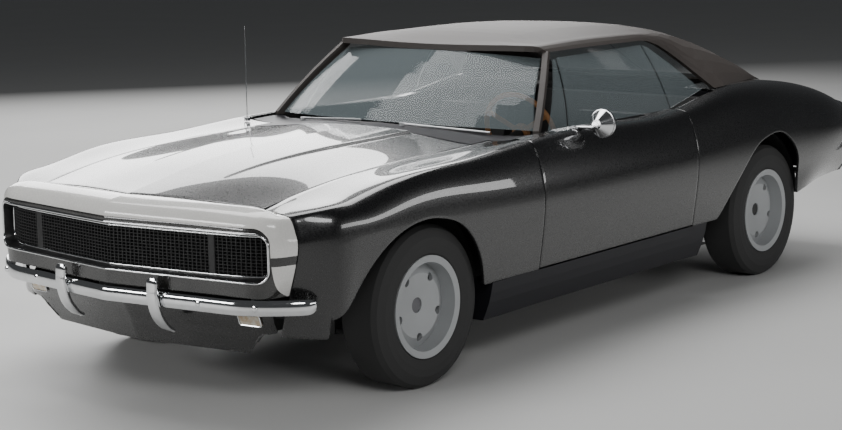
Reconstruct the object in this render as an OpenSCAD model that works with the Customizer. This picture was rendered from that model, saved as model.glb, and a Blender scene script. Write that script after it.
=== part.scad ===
// A late-sixties two-door hardtop coupe, built up from its separate panels,
// glass, trim, running gear and cabin pieces. Millimetres. The origin is on
// the ground under the middle of the car, which faces -Y with its left side
// at +X.

/* [Overall] */
// Length over the bumpers
overall_l = 4705; // [4300:1:5700]
// Width over the body sides
overall_w = 1842; // [1640:1:2250]
// Height of the roof's middle
overall_h = 1306; // [1200:1:1600]
// Distance between the axles
wheelbase = 2746; // [2600:1:3300]
// From the front bumper to the front axle
front_overhang = 946; // [850:1:1130]

/* [Wheels] */
// Distance between the front wheels' centres
front_track = 1499; // [1400:1:1850]
// Distance between the rear wheels' centres
rear_track = 1496; // [1400:1:1850]
// Outer diameter of a tyre
tyre_d = 655; // [560:1:670]
// Width of a tyre
tyre_w = 206; // [160:1:212]
// Diameter of a rim's bead seat
rim_d = 381; // [330:1:420]
// Width of a rim
rim_w = 178; // [140:1:190]
// Radius of the spindle that a rim turns on
spindle_r = 31; // [20:0.5:40]
// Running clearance round a spindle
spindle_fit = 0.3; // [0.2:0.1:1]
// From the middle of the front wheel in to its steering axis
kingpin_inset = 60; // [40:1:80]

/* [Body] */
// Height of the waist line at the doors
belt_z = 910; // [860:1:1000]
// Height of the side crease
crease_z = 628; // [600:1:680]
// Height of the sills' lower face
sill_z = 205; // [170:1:250]
// Height at which the doors end above the sills
door_bottom_z = 372; // [340:1:420]
// Thickness of the outer panels
skin_t = 17; // [10:1:18]
// Gap between panels
panel_gap = 6; // [5.5:0.5:9]
// From the front axle back to the doors
door_setback = 708; // [680:1:760]
// Length of a door
door_l = 1250; // [1100:1:1400]
// From the body's widest line in to the doors' inner faces
door_depth = 176; // [150:1:190]
// Half the width of the bonnet
hood_half_w = 622; // [600:1:640]
// From the front axle back to the bonnet's rear edge
hood_setback = 585; // [540:1:620]
// From the front axle forward to the middle of the bonnet's front edge
hood_reach = 789; // [780:1:795]
// How far the corners of that edge lie behind its middle
hood_sweep = 114; // [95:1:125]
// From the front axle forward to the wings' front edges
wing_reach = 700; // [690:1:706]
// Half the width of the boot lid
lid_half_w = 612; // [560:1:640]
// From the rear axle back to the boot lid's front edge
lid_setback = 300; // [280:1:340]
// Length of the boot lid
lid_l = 620; // [560:1:640]

/* [Roof and glass] */
// Half the width of the roof at its gutters
roof_half_w = 604; // [560:1:660]
// How far the roof's middle stands above its gutters
roof_crown = 78; // [50:1:100]
// Thickness of the roof
roof_t = 26; // [18:1:34]
// Thickness of the glass
glass_t = 6; // [4:1:8]
// Gap round the glass
glass_gap = 0.6; // [0.5:0.1:3]

/* [Running gear] */
// Thickness of the floor
floor_t = 10; // [6:1:16]
// Height of the floor's upper face
floor_z = 222; // [200:1:250]
// Half the width of the tunnel
tunnel_half_w = 155; // [140:1:180]
// Height of the tunnel's top
tunnel_z = 470; // [450:1:500]
// Diameter of the steering wheel
steering_d = 400; // [360:1:420]

/* [Hidden] */

half_w = overall_w / 2;
nose_y = -overall_l / 2;
tail_y = overall_l / 2;
front_axle_y = nose_y + front_overhang;
rear_axle_y = front_axle_y + wheelbase;
hub_z = tyre_d / 2;
door_front_y = front_axle_y + door_setback;
door_rear_y = door_front_y + door_l;
hood_rear_y = front_axle_y + hood_setback;
wing_front_y = front_axle_y - wing_reach;
lid_front_y = rear_axle_y + lid_setback;
lid_rear_y = lid_front_y + lid_l;
door_inner_x = half_w - door_depth;
gutter_z = overall_h - roof_crown;
kingpin_x = front_track / 2 - kingpin_inset;
seat_gap = 0.3;

// ---- Smooth curves through a few chosen points ----
function interval(t, x, i = 0) = (i >= len(t) - 2 || x < t[i + 1][0]) ? i : interval(t, x, i + 1);
function slope(t, i) =
    let (a = max(i - 1, 0), b = min(i + 1, len(t) - 1)) (t[b][1] - t[a][1]) / (t[b][0] - t[a][0]);
function curve(t, x) =
    let (i = interval(t, x), h = t[i + 1][0] - t[i][0], u = min(max((x - t[i][0]) / h, 0), 1))
    t[i][1] * (1 + u * u * (2 * u - 3)) + slope(t, i) * h * u * (1 - u) * (1 - u)
    + t[i + 1][1] * u * u * (3 - 2 * u) - slope(t, i + 1) * h * u * u * (1 - u);
function steps(a, b, n) = [for (i = [0:n]) a + (b - a) * i / n];
function smooth_outline(points, n) =
    let (t = [for (i = [0:len(points) - 1]) [i, points[i]]]) [for (u = steps(0, len(points) - 1, n)) curve(t, u)];

// ---- Lower body: sections from sill to centre line ----
// Each station: its place, how far seven side points lie inside the widest
// line, and the heights of all ten points. The last three lie at a lid's edge,
// half way in and at the middle.
function hood_edge(y) = hood_half_w - 20 * pow(max(front_axle_y - 120 - y, 0) / 560, 2);
stations = [
    [front_axle_y - 815, [330, 300, 270, 215, 222, 240, 280], [330, 400, 470, 630, 700, 735, 760, 766, 794, 812]],
    [front_axle_y - 700, [232, 204, 178, 128, 134, 150, 186], [318, 400, 470, 640, 722, 764, 784, 790, 819, 834]],
    [front_axle_y - 620, [92, 78, 66, 48, 56, 78, 126], [313, 392, 470, 646, 748, 788, 803, 805, 836, 849]],
    [front_axle_y - 477, [80, 52, 32, 8, 18, 48, 108], [310, 385, 470, 648, 762, 808, 824, 830, 862, 875]],
    [front_axle_y - 193, [94, 54, 30, 3, 13, 42, 102], [260, 340, 440, 640, 785, 850, 868, 864, 893, 907]],
    [front_axle_y + 265, [88, 50, 28, 2, 14, 46, 108], [sill_z, 300, 420, crease_z + 2, 784, 866, 887, 884, 911, 923]],
    [door_front_y, [86, 49, 28, 3, 17, 54, 118], [sill_z, 300, 420, crease_z, 776, belt_z - 32, belt_z + 1, 896, 923, 934]],
    [(door_front_y + door_rear_y) / 2, [86, 49, 28, 4, 19, 58, 122],
        [sill_z, 300, 420, crease_z, 772, belt_z - 36, belt_z, 910, 936, 946]],
    [door_rear_y, [86, 49, 28, 3, 18, 55, 121], [sill_z, 300, 420, crease_z + 4, 776, belt_z - 30, belt_z + 4, 930, 950, 960]],
    [rear_axle_y - 396, [88, 50, 27, 1, 14, 48, 128], [sill_z, 310, 440, crease_z + 8, 800, belt_z + 10, belt_z + 60,
        975, 985, 990]],
    [rear_axle_y, [60, 46, 28, 0, 12, 46, 132], [320, 390, 480, crease_z + 12, 800, belt_z + 5, belt_z + 60,
        975, 990, 994]],
    [rear_axle_y + 354, [46, 38, 28, 8, 22, 60, 146], [400, 450, 525, crease_z + 12, 780, belt_z - 32, belt_z + 24,
        942, 952, 955]],
    [rear_axle_y + 704, [134, 96, 58, 28, 42, 80, 158], [405, 455, 530, crease_z + 8, 742, 818, 860, 870, 882, 886]],
    [rear_axle_y + 944, [156, 120, 90, 70, 84, 118, 186], [410, 460, 535, crease_z + 8, 700, 756, 786, 796, 804, 806]]];
function section(y) =
    let (inset = curve([for (s = stations) [s[0], s[1]]], y), height = curve([for (s = stations) [s[0], s[2]]], y),
        deck = y < door_rear_y ? hood_edge(y) : lid_half_w)
    [for (i = [0:6]) [i, [half_w - inset[i], height[i]]], [7, [deck, height[7]]], [8, [deck / 2, height[8]]],
        [9, [0, height[9]]]];
function body_point(y, v) = let (p = curve(section(y), v)) [p[0], y, p[1]];
function body_inner(y, v, t) =
    let (s = section(y), a = curve(s, max(v - 0.05, 0)), b = curve(s, min(v + 0.05, 9)), p = curve(s, v),
        d = (b - a) / norm(b - a))
    [max(p[0] - t * d[1], 0), y, p[1] + t * d[0]];
function deck_v(x, y, lo = 6, hi = 9, n = 12) =
    n == 0 ? (lo + hi) / 2
    : let (m = (lo + hi) / 2) (body_point(y, m)[0] > x ? deck_v(x, y, m, hi, n - 1) : deck_v(x, y, lo, m, n - 1));
function side_v(z, y, lo = 0, hi = 6, n = 12) =
    n == 0 ? (lo + hi) / 2
    : let (m = (lo + hi) / 2) (body_point(y, m)[2] < z ? side_v(z, y, m, hi, n - 1) : side_v(z, y, lo, m, n - 1));
function side_x(z, y) = body_point(y, side_v(z, y))[0];
function deck_z(x, y) = body_point(y, deck_v(x, y))[2];

// A closed slab between two grids of points.
module slab(outer, inner) {
    rows = len(outer);
    cols = len(outer[0]);
    n = rows * cols;
    function at(i, j) = i * cols + j;
    function pair(a, b, c, d) = [[a, b, c], [a, c, d]];
    quads = concat(
        [for (i = [0:rows - 2], j = [0:cols - 2]) each pair(at(i, j), at(i, j + 1), at(i + 1, j + 1), at(i + 1, j))],
        [for (i = [0:rows - 2], j = [0:cols - 2])
            each pair(n + at(i, j), n + at(i + 1, j), n + at(i + 1, j + 1), n + at(i, j + 1))],
        [for (j = [0:cols - 2]) each pair(at(0, j), n + at(0, j), n + at(0, j + 1), at(0, j + 1))],
        [for (j = [0:cols - 2])
            each pair(at(rows - 1, j), at(rows - 1, j + 1), n + at(rows - 1, j + 1), n + at(rows - 1, j))],
        [for (i = [0:rows - 2]) each pair(at(i, 0), at(i + 1, 0), n + at(i + 1, 0), n + at(i, 0))],
        [for (i = [0:rows - 2])
            each pair(at(i, cols - 1), n + at(i, cols - 1), n + at(i + 1, cols - 1), at(i + 1, cols - 1))]);
    polyhedron(points = concat([for (r = outer) each r], [for (r = inner) each r]), faces = quads);
}
module both_sides() {
    children();
    mirror([1, 0, 0]) children();
}
module box(lo, hi) translate(lo) cube(hi - lo);
module bar(a, b, r) hull() {
    translate(a) sphere(r, $fn = 10);
    translate(b) sphere(r, $fn = 10);
}
module rod(a, b, r) {
    d = b - a;
    translate(a) rotate([0, acos(d[2] / norm(d)), atan2(d[1], d[0])]) cylinder(h = norm(d), r = r);
}

// ---- Wheel openings: the lip's outline from its front foot over the wheel ----
front_lip = [[-620, 180], [-602, 385], [-525, 432], [-408, 568], [-269, 664], [-118, 699], [8, 690], [136, 645],
    [237, 549], [291, 455], [319, 365], [321, 180]];
rear_lip = [[-690, 180], [-655, 321], [-561, 366], [-474, 448], [-366, 567], [-239, 680], [-98, 726], [25, 727],
    [142, 665], [228, 562], [252, 452], [256, 180]];
module wheel_opening(lip, axle_y) translate([half_w - 150, axle_y, 0]) rotate([90, 0, 90])
    linear_extrude(300) polygon(smooth_outline(lip, 33));
house_r = 384;
house_x = 466;
module wheel_house(axle_y, lip, inner_x, outer_x) translate([inner_x, axle_y, 0]) rotate([90, 0, 90]) {
    difference() {
        linear_extrude(outer_x - inner_x) house_outline(lip, 10);
        translate([0, 0, 10]) linear_extrude(outer_x - inner_x) house_outline(lip, 0);
        translate([-800, -200, -1]) cube([1600, 200 + door_bottom_z - panel_gap, outer_x - inner_x + 2]);
        translate([-150, 0, -1]) cube([300, hub_z + 165, 12]);
    }
}
module house_outline(lip, t) union() {
    translate([0, hub_z]) circle(house_r + t, $fn = 48);
    offset(delta = t + 6) polygon(smooth_outline(lip, 33));
}

// A side panel's skin from the sill up over the shoulder to a lid's edge
skin_steps = [0, 0.07, 0.14, 0.21, 0.28, 0.35, 0.43, 0.48, 0.54, 0.6, 0.65, 0.71, 0.77, 0.82, 0.88, 0.94, 1];
function skin_v(y, f) = f * deck_v((y < door_rear_y ? hood_edge(y) : lid_half_w) + panel_gap / 2, y);
module side_skin(starts, end_y, n) {
    rows = [for (r = steps(0, 1, n)) [for (y = starts) y + (end_y - y) * r]];
    slab([for (ys = rows) [for (i = [0:len(ys) - 1]) body_point(ys[i], skin_v(ys[i], skin_steps[i]))]],
        [for (ys = rows) [for (i = [0:len(ys) - 1]) body_inner(ys[i], skin_v(ys[i], skin_steps[i]), skin_t)]]);
}
// A ledge under a lid's side edge
module ledge(ys, edge) slab(
    [for (y = ys) [for (d = [24, 10, 0, -18]) let (x = edge(y) + d)
        [x, y, deck_z(x, y) - (d > 5 ? 10 : skin_t + 3 * seat_gap)]]],
    [for (y = ys) [for (d = [24, 10, 0, -18]) let (x = edge(y) + d) [x, y, deck_z(x, y) - skin_t - 16]]]);
apron_t = 8;
module apron_rib(y) {
    x = hood_edge(y) - 14;
    translate([house_x, y, hub_z + house_r - 4]) cube([apron_t, 1, 24]);
    translate([x, y, deck_z(x + apron_t, y) - skin_t - 32 - seat_gap]) cube([apron_t, 1, 15]);
}
// The joint between the nose and the bonnet and wings, seen from above
function joint_y(x) = lookup(x, [[0, front_axle_y - hood_reach - panel_gap],
    [hood_half_w - 16, front_axle_y - hood_reach + hood_sweep - panel_gap],
    [hood_half_w + 95, wing_front_y - panel_gap / 2], [half_w, wing_front_y - panel_gap / 2]]);
module fender_side() color("#101113") difference() {
    union() {
        side_skin([for (f = skin_steps) joint_y(body_point(wing_front_y, skin_v(wing_front_y, f))[0]) + panel_gap / 2],
            door_front_y - panel_gap, 16);
        ledge(steps(wing_front_y + 60, hood_rear_y, 10), function (y) hood_edge(y));
    }
    wheel_opening(front_lip, front_axle_y);
    box([0, front_axle_y + 372, 0], [half_w + 50, door_front_y, door_bottom_z - panel_gap]);
}
module left_fender() fender_side();
module right_fender() mirror([1, 0, 0]) fender_side();
module inner_fenders() color("#101113") both_sides() {
    wheel_house(front_axle_y, front_lip, house_x, half_w - 134);
    ribs = steps(front_axle_y - 500, front_axle_y + 380, 8);
    for (i = [0:7]) hull() {
        apron_rib(ribs[i]);
        apron_rib(ribs[i + 1]);
    }
}

// ---- Other outer panels ----
quarter_front_y = door_rear_y + panel_gap;
quarter_rear_y = rear_axle_y + 938;
module quarter_side() color("#101113") {
    quarter_shell();
    window_sill();
}
window_back_y = rear_axle_y - 424;
module window_sill() {
    box([door_inner_x + 4, quarter_front_y, door_bottom_z + 10], [door_inner_x + 18, rear_axle_y - 572, belt_z - 20]);
    box([door_inner_x + 4, rear_axle_y - 573, 540], [door_inner_x + 18, window_back_y, belt_z - 20]);
    hull() {
        box([door_inner_x + 4, quarter_front_y, belt_z - 34], [half_w - 135, quarter_front_y + 20, belt_z + 7.4]);
        box([door_inner_x - 16, window_back_y - 20, belt_z + 20], [half_w - 135, window_back_y, belt_z + 62]);
    }
}
module quarter_shell() difference() {
    union() {
        side_skin([for (f = skin_steps) quarter_front_y], quarter_rear_y, 20);
        // Lock pillar
        hull() {
            box([door_inner_x + 10, quarter_front_y, door_bottom_z + 10], [half_w - 40, quarter_front_y + 14, crease_z]);
            box([door_inner_x + 10, quarter_front_y, crease_z], [half_w - 80, quarter_front_y + 14, belt_z - 40]);
        }
        ledge(steps(lid_front_y, lid_rear_y, 6), function (y) lid_half_w);
    }
    wheel_opening(rear_lip, rear_axle_y);
    box([0, quarter_front_y - 1, 0], [half_w + 50, rear_axle_y - 600, door_bottom_z - panel_gap]);
    // The well that the quarter window stands in
    box([0, quarter_front_y - 1, belt_z - 30], [half_w - 136, window_back_y + 4, overall_h]);
}
module left_quarter_panel() quarter_side();
module right_quarter_panel() mirror([1, 0, 0]) quarter_side();
floor_half_w = rear_track / 2 - tyre_w / 2 - 42;
module rear_wheel_houses() color("#101113") both_sides()
    wheel_house(rear_axle_y, rear_lip, floor_half_w + seat_gap, half_w - 112);
// The strip of bodywork between the rear window and the boot lid
module rear_deck() color("#101113") both_sides() {
    x1 = lid_half_w + panel_gap / 2 - 1 - seat_gap;
    slab([for (y = [sail_rear_y + 3, lid_front_y - panel_gap]) [for (x = steps(x1, 0, 10)) [x, y, deck_z(x, y)]]],
        [for (y = [sail_rear_y + 3, lid_front_y - panel_gap]) [for (x = steps(x1, 0, 10)) [x, y, deck_z(x, y) - skin_t]]]);
}

module rocker_side() {
    ys = steps(front_axle_y + 374, rear_axle_y - 654, 10);
    top_z = door_bottom_z - panel_gap - seat_gap;
    slab([for (y = ys) [for (f = steps(0, 1, 4)) body_point(y, side_v(top_z, y) * f)]],
        [for (y = ys) [for (f = steps(0, 1, 4)) [door_inner_x + 4, y, body_point(y, side_v(top_z, y) * f)[2]]]]);
}
module rocker_panels() color("#101113") both_sides() rocker_side();

// ---- Nose: levels from below the grille up over the lip to the bonnet ----
// Each level: how much of the way from the joint to the face it is, its
// height in the middle, and the section point that its outer end meets.
levels = [[1, 488, 2.1], [1, 520, 2.38], [1, 620, 2.85], [1, 728, 3.6], [0.99, 746, 4.2], [0.94, 770, 4.8],
    [0.76, 797, 5.4], [0.4, 813, 6], [0, 819, 6.6]];
nose_end_y = wing_front_y - panel_gap / 2;
// How far ahead of its ends the face is, at each share of its half width
face_plan = [[0, 218], [0.22, 197], [0.45, 173], [0.67, 149], [0.81, 133], [0.88, 117], [0.935, 97], [0.975, 60], [1, 0]];
function nose_point(w, u) =
    let (l = levels[w], e = body_point(nose_end_y, l[2]), widest = body_point(nose_end_y, 2.85)[0],
        x = widest * u + (e[0] - widest) * max(0, (u - 0.88) / 0.12), joint = joint_y(x),
        face = nose_end_y - curve(face_plan, u), mid = curve([[0, 0], [0.8, 0.1], [1, 1]], u),
        z = w == len(levels) - 1 ? deck_z(x, joint) : l[1] + (e[2] - l[1]) * mid)
    [x, joint + (face - joint) * l[0], z];
function nose_in(w, u, t) =
    let (p = nose_point(w, u), k = w / (len(levels) - 1), s = u < 0.9 ? 0 : (u - 0.9) / 0.1)
    [p[0] - t * s, p[1] + t * (1 - s) * min(1, 1.5 * (1 - k)), p[2] - t * max(0, (k - 0.4) / 0.6)];
nose_u = [0, 0.15, 0.3, 0.45, 0.6, 0.72, 0.77, 0.82, 0.88, 0.93, 0.96, 0.985, 1];
nose_t = 24;
grille_half_w = 738;
grille_lo = 541;
grille_hi = 728;
grille_corner_r = 45;
module nose_half() slab(
    [for (u = nose_u) [for (w = [0:len(levels) - 1]) nose_point(w, u)]],
    [for (u = nose_u) [for (w = [0:len(levels) - 1]) nose_in(w, u, nose_t)]]);
module nose_panel() color("#e8e8e6") difference() {
    union() {
        both_sides() nose_half();
        // Stiffeners between the top and the face
        both_sides() for (x = [60, 200, 340, 480]) hull() {
            translate([x, joint_y(x) - 30, deck_z(x, joint_y(x)) - 44]) cube([12, 20, 26]);
            translate([x, face_y(x) + 14, grille_hi + 8]) cube([12, 20, 20]);
        }
        // Joining tabs that reach the fenders' front edges
        tab_x = body_point(wing_front_y, 3)[0];
        both_sides() box([tab_x - 15, wing_front_y - 20, 600], [tab_x - 7, wing_front_y - seat_gap, 680]);
    }
    grille_hole(0);
}
module grille_hole(inset) hull() for (x = [-1, 1], z = [grille_lo + grille_corner_r, grille_hi - grille_corner_r])
    translate([x * (grille_half_w - grille_corner_r), 0, z]) rotate([90, 0, 0])
        cylinder(h = overall_l / 2, r = grille_corner_r - inset, $fn = 32);
function face_y(x) = nose_end_y - curve(face_plan, abs(x) / body_point(nose_end_y, 2.85)[0]);
module v_panel(x0, x1, z0, z1, back, t) for (s = [0:3]) {
    a = x0 + (x1 - x0) * s / 4;
    b = x0 + (x1 - x0) * (s + 1) / 4;
    hull() {
        box([a, face_y(a) + back, z0], [a + 1, face_y(a) + back + t, z1]);
        box([b - 1, face_y(b) + back, z0], [b, face_y(b) + back + t, z1]);
    }
}
cover_in_x = 478;
grille_set_back = 18;
module grille() color("#0c0c0d") intersection() {
    union() {
        v_panel(-cover_in_x + 2, 0, grille_lo, grille_hi, grille_set_back, nose_t);
        v_panel(0, cover_in_x - 2, grille_lo, grille_hi, grille_set_back, nose_t);
    }
    grille_hole(seat_gap);
}
module headlamp_covers() color("#0c0c0d") both_sides() intersection() {
    v_panel(cover_in_x + 2, grille_half_w, grille_lo, grille_hi, grille_set_back, nose_t);
    grille_hole(seat_gap);
}

module sweep_bar(path, r_in, z0, z1) for (i = [0:len(path) - 2]) hull() {
    translate([path[i][0], path[i][1], 0]) bumper_rib(z0, z1, r_in);
    translate([path[i + 1][0], path[i + 1][1], 0]) bumper_rib(z0, z1, r_in);
}
module bumper_rib(z0, z1, t) {
    translate([0, 0, z0 + 14]) cylinder(h = z1 - z0 - 28, r = t, $fn = 12);
    translate([0, t * 0.3, z0]) cylinder(h = z1 - z0, r = t * 0.6, $fn = 12);
}
bumper_lo = 420;
bumper_hi = 480;
bumper_r = 11;
front_bumper_path = [for (x = [-600, -400, -200, 0, 200, 400, 600]) [x, face_y(x) - 14]];
function beside(z, y, gap) = [side_x(z, y) + gap, y];
bumper_end = [[700, front_axle_y - 814], [768, front_axle_y - 766], [813, front_axle_y - 727],
    [834, front_axle_y - 695], [841, front_axle_y - 664]];
// Each overrider's side view: distance ahead of the axle, and height
guard_x = 254;
guard_w = 56;
guard_line = [[924, 528], [926, 450], [906, 385], [850, 322], [832, 316]];
module front_bumper() color("#c9cccf") {
    sweep_bar(concat([for (i = [4:-1:0]) [-bumper_end[i][0], bumper_end[i][1]]], front_bumper_path, bumper_end),
        bumper_r, bumper_lo, bumper_hi);
    both_sides() for (i = [0:len(guard_line) - 2]) hull() for (k = [0, 1]) {
        g = guard_line[i + k];
        translate([guard_x - guard_w / 2, front_axle_y - g[0], g[1]]) rotate([0, 90, 0])
            cylinder(h = guard_w, r = 10, $fn = 10);
    }
    // Brackets back and down to the ends of the frame's rails
    both_sides() {
        box([330, face_y(300) - 10, bumper_lo + 20], [400, front_axle_y - 640 - seat_gap, bumper_hi - 6]);
        box([330, front_axle_y - 660, 346], [400, front_axle_y - 640 - seat_gap, bumper_lo + 21]);
    }
}
valance_back = 75;
valance_path = [for (x = [-690, -650, -600, -400, 0, 400, 600, 650, 690]) [x, face_y(x) + valance_back]];
chin_z = 236;
module front_valance() color("#101113") difference() {
    union() {
        for (i = [0:len(valance_path) - 2]) hull() for (k = [0, 1]) {
            p = valance_path[i + k];
            translate([p[0], p[1], 426]) cylinder(h = 8, r = 7, $fn = 8);
            translate([p[0] * 0.99, p[1] + 40, 330]) cylinder(h = 8, r = 7, $fn = 8);
        }
        for (i = [2:len(valance_path) - 4]) hull() for (k = [0, 1]) {
            p = valance_path[i + k];
            translate([p[0] * 0.985, p[1] + 42, 330]) cylinder(h = 8, r = 7, $fn = 8);
            translate([p[0] * 0.95, p[1] + 74, chin_z]) cylinder(h = 8, r = 6, $fn = 8);
        }
        both_sides() box([340, face_y(360) + valance_back + 40, 333], [390, front_axle_y - 640 - seat_gap, 345]);
    }
    both_sides() lamp_block(seat_gap);
}
module lamp_block(gap) box([540 - gap, face_y(600) + valance_back + 10 - gap, 358 - gap],
    [640 + gap, face_y(600) + valance_back + 66 + gap, 408 + gap]);

tail_face_y = rear_axle_y + 962;
module tail_panel() color("#101113") difference() {
    translate([0, tail_face_y, 0]) rotate([90, 0, 0]) linear_extrude(tail_face_y - quarter_rear_y - seat_gap) {
        side = [for (v = concat(steps(0, 6, 20), steps(6.25, 9, 8))) body_point(quarter_rear_y, v)];
        both_sides() polygon(concat([for (q = side) [q[0], q[2]]], [[0, 420], [side[0][0] - 60, side[0][2]]]));
    }
    both_sides() box([330 - seat_gap, 0, 620 - seat_gap], [690 + seat_gap, tail_y, 716 + seat_gap]);
}
rear_end_x = side_x(578, rear_axle_y + 936);
rear_end = [beside(578, rear_axle_y + 820, 18), beside(578, rear_axle_y + 890, 18), [rear_end_x + 18, rear_axle_y + 946],
    [rear_end_x + 12, rear_axle_y + 978], [rear_end_x - 24, tail_y - 22], [740, tail_y - 20]];
rear_bumper_path = concat([for (q = rear_end) [-q[0], q[1]]], [[-500, tail_y - 18], [0, tail_y - 14.5], [500, tail_y - 18]],
    [for (i = [5:-1:0]) rear_end[i]]);
module rear_bumper() color("#c9cccf") {
    sweep_bar(rear_bumper_path, 14, 500, 590);
    both_sides() box([400, tail_face_y + seat_gap, 530], [460, tail_y - 20, 560]);
    for (x = [-330, 330]) hull() {
        translate([x - 22, tail_y - 30, 490]) cube([44, 20, 110]);
        translate([x - 14, tail_y - 12, 510]) cube([28, 12, 70]);
    }
}
plate_hole_spacing = 178;
plate_hole_r = 3.5;
plate_z = 440;
module plate_bracket() color("#2a2a2c") difference() {
    union() {
        box([-150, tail_face_y + 4, plate_z - 76], [150, tail_face_y + 10, plate_z + 76]);
        both_sides() box([100, tail_face_y + seat_gap, plate_z - 10], [130, tail_face_y + 6, plate_z + 50]);
    }
    both_sides() translate([plate_hole_spacing / 2, tail_face_y - 40, plate_z + 60]) rotate([-90, 0, 0])
        cylinder(h = 80, r = plate_hole_r, $fn = 32);
}
module lamps() {
    color("#e9e4d4") both_sides() lamp_block(0);
    color("#9c1210") both_sides() box([330, tail_face_y - 20, 620], [690, tail_face_y + 6, 716]);
}

// ---- Greenhouse ----
// The roof's half width and gutter height, and its middle height
roof_front_y = front_axle_y + 1092;
roof_corner_y = front_axle_y + 1209;
roof_rear_y = rear_axle_y - 306;
sail_rear_y = rear_axle_y + 262;
gutter = [[roof_corner_y - 20, [roof_half_w - 8, gutter_z + 4]], [front_axle_y + 1500, [roof_half_w + 3, gutter_z + 6]],
    [front_axle_y + 1800, [roof_half_w + 2, gutter_z + 2]], [front_axle_y + 2040, [roof_half_w - 2, gutter_z - 12]],
    [rear_axle_y - 500, [roof_half_w + 34, belt_z + 205]], sail_foot(half_w - 146, rear_axle_y - 396),
    sail_foot(half_w - 168, rear_axle_y - 200), sail_foot(half_w - 206, rear_axle_y), sail_foot(half_w - 290, sail_rear_y)];
function sail_foot(x, y) = [y, [x, max(deck_z(x, y), deck_z(x - roof_t, y), deck_z(x - roof_t / 2, y)) + seat_gap + 0.4]];
ridge = [[roof_corner_y - 20, [roof_half_w - 90, gutter_z + 34]], [front_axle_y + 1500, [roof_half_w - 84, gutter_z + 44]],
    [front_axle_y + 2040, [roof_half_w - 78, gutter_z + 30]], [rear_axle_y - 400, [roof_half_w - 66, gutter_z - 10]],
    [rear_axle_y - 100, [roof_half_w - 44, gutter_z - 98]], [rear_axle_y + 120, [roof_half_w - 16, gutter_z - 196]],
    [sail_rear_y, [roof_half_w + 2, belt_z + 44]]];
middle = [[roof_front_y, overall_h - 50], [front_axle_y + 1400, overall_h - 8], [front_axle_y + 1720, overall_h],
    [front_axle_y + 2100, overall_h - 14], [roof_rear_y, overall_h - 58], [rear_axle_y - 100, overall_h - 174],
    [rear_axle_y + 120, overall_h - 284], [sail_rear_y, belt_z + 46]];
function gutter_at(y) = let (g = curve(gutter, y)) y < rear_axle_y - 396 ? g : sail_foot(g[0], y)[1];
function roof_section(y) = let (g = gutter_at(y), r = curve(ridge, y), m = curve(middle, y))
    [[0, g], [1, (g + r) / 2 + [14, 10]], [2, r], [3, [r[0] * 0.62, r[1] + (m - r[1]) * 0.72]],
        [4, [r[0] * 0.3, r[1] + (m - r[1]) * 0.95]], [5, [0, m]]];
function roof_point(y, v) = let (p = curve(roof_section(y), v)) [p[0], y, p[1]];
function roof_inner(y, v, t) = let (s = roof_section(y), a = curve(s, max(v - 0.05, 0)), b = curve(s, min(v + 0.05, 5)),
    p = curve(s, v), d = (b - a) / norm(b - a), x = v == 0 ? p[0] - t : max(p[0] - t * d[1], 0),
    z = v == 0 ? p[1] : p[1] + t * d[0])
    [x, y, y > rear_axle_y && x > lid_half_w - 20 ? max(z, sail_foot(x, y)[1][1]) : z];
roof_v = [0, 0.5, 1, 1.5, 2, 2.5, 3, 3.5, 4, 4.5, 5];
function header_y(v) = roof_corner_y - 18 - (roof_corner_y - 18 - roof_front_y) * sin(18 * v);
window_top_y = roof_rear_y;
window_low_y = sail_rear_y - 14;
module roof_half() {
    rows = steps(0, 1, 22);
    slab([for (f = rows) [for (v = roof_v) let (y = header_y(v) + (sail_rear_y - header_y(v)) * f) roof_point(y, v)]],
        [for (f = rows) [for (v = roof_v) let (y = header_y(v) + (sail_rear_y - header_y(v)) * f)
            roof_inner(y, v, roof_t)]]);
}
// Windscreen pillars from the cowl's corners to the roof's front corners
pillar = [[0, [half_w - 179, front_axle_y + 898, belt_z + 7]], [1, [half_w - 221, front_axle_y + 990, belt_z + 108]],
    [2, [half_w - 275, front_axle_y + 1092, belt_z + 214]], [3, [roof_half_w - 22, roof_corner_y - 6, gutter_z + 2]]];
module pillar_side() for (i = [0:4]) {
    a = curve(pillar, i * 3 / 5);
    b = curve(pillar, (i + 1) * 3 / 5);
    hull() {
        translate(a) pillar_knot();
        translate(b) pillar_knot();
    }
}
module pillar_knot() rotate([0, 0, 20]) cube([26, 34, 14], center = true);
module roof() color("#1d1b1b") difference() {
    union() {
        both_sides() roof_half();
        both_sides() pillar_side();
    }
    rear_window_hole(0);
}
module rear_window_hole(inset) hull() {
    translate([0, 0, belt_z + 35]) both_sides() {
        translate([roof_half_w - 62 - inset, window_low_y - 30 - inset, 0]) cylinder(h = 500, r = 30, $fn = 24);
        translate([roof_half_w - 110 - inset, window_top_y + 40 + inset, 0]) cylinder(h = 500, r = 40, $fn = 24);
    }
}
module rear_window() color([0.2, 0.24, 0.25, 0.4]) intersection() {
    both_sides() {
        ys = steps(window_top_y - 10, sail_rear_y - 1, 10);
        vs = [2, 2.5, 3, 3.5, 4, 4.5, 5];
        slab([for (y = ys) [for (v = vs) roof_inner(y, v, 6)]], [for (y = ys) [for (v = vs) roof_inner(y, v, 6 + glass_t)]]);
    }
    rear_window_hole(glass_gap);
}

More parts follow.
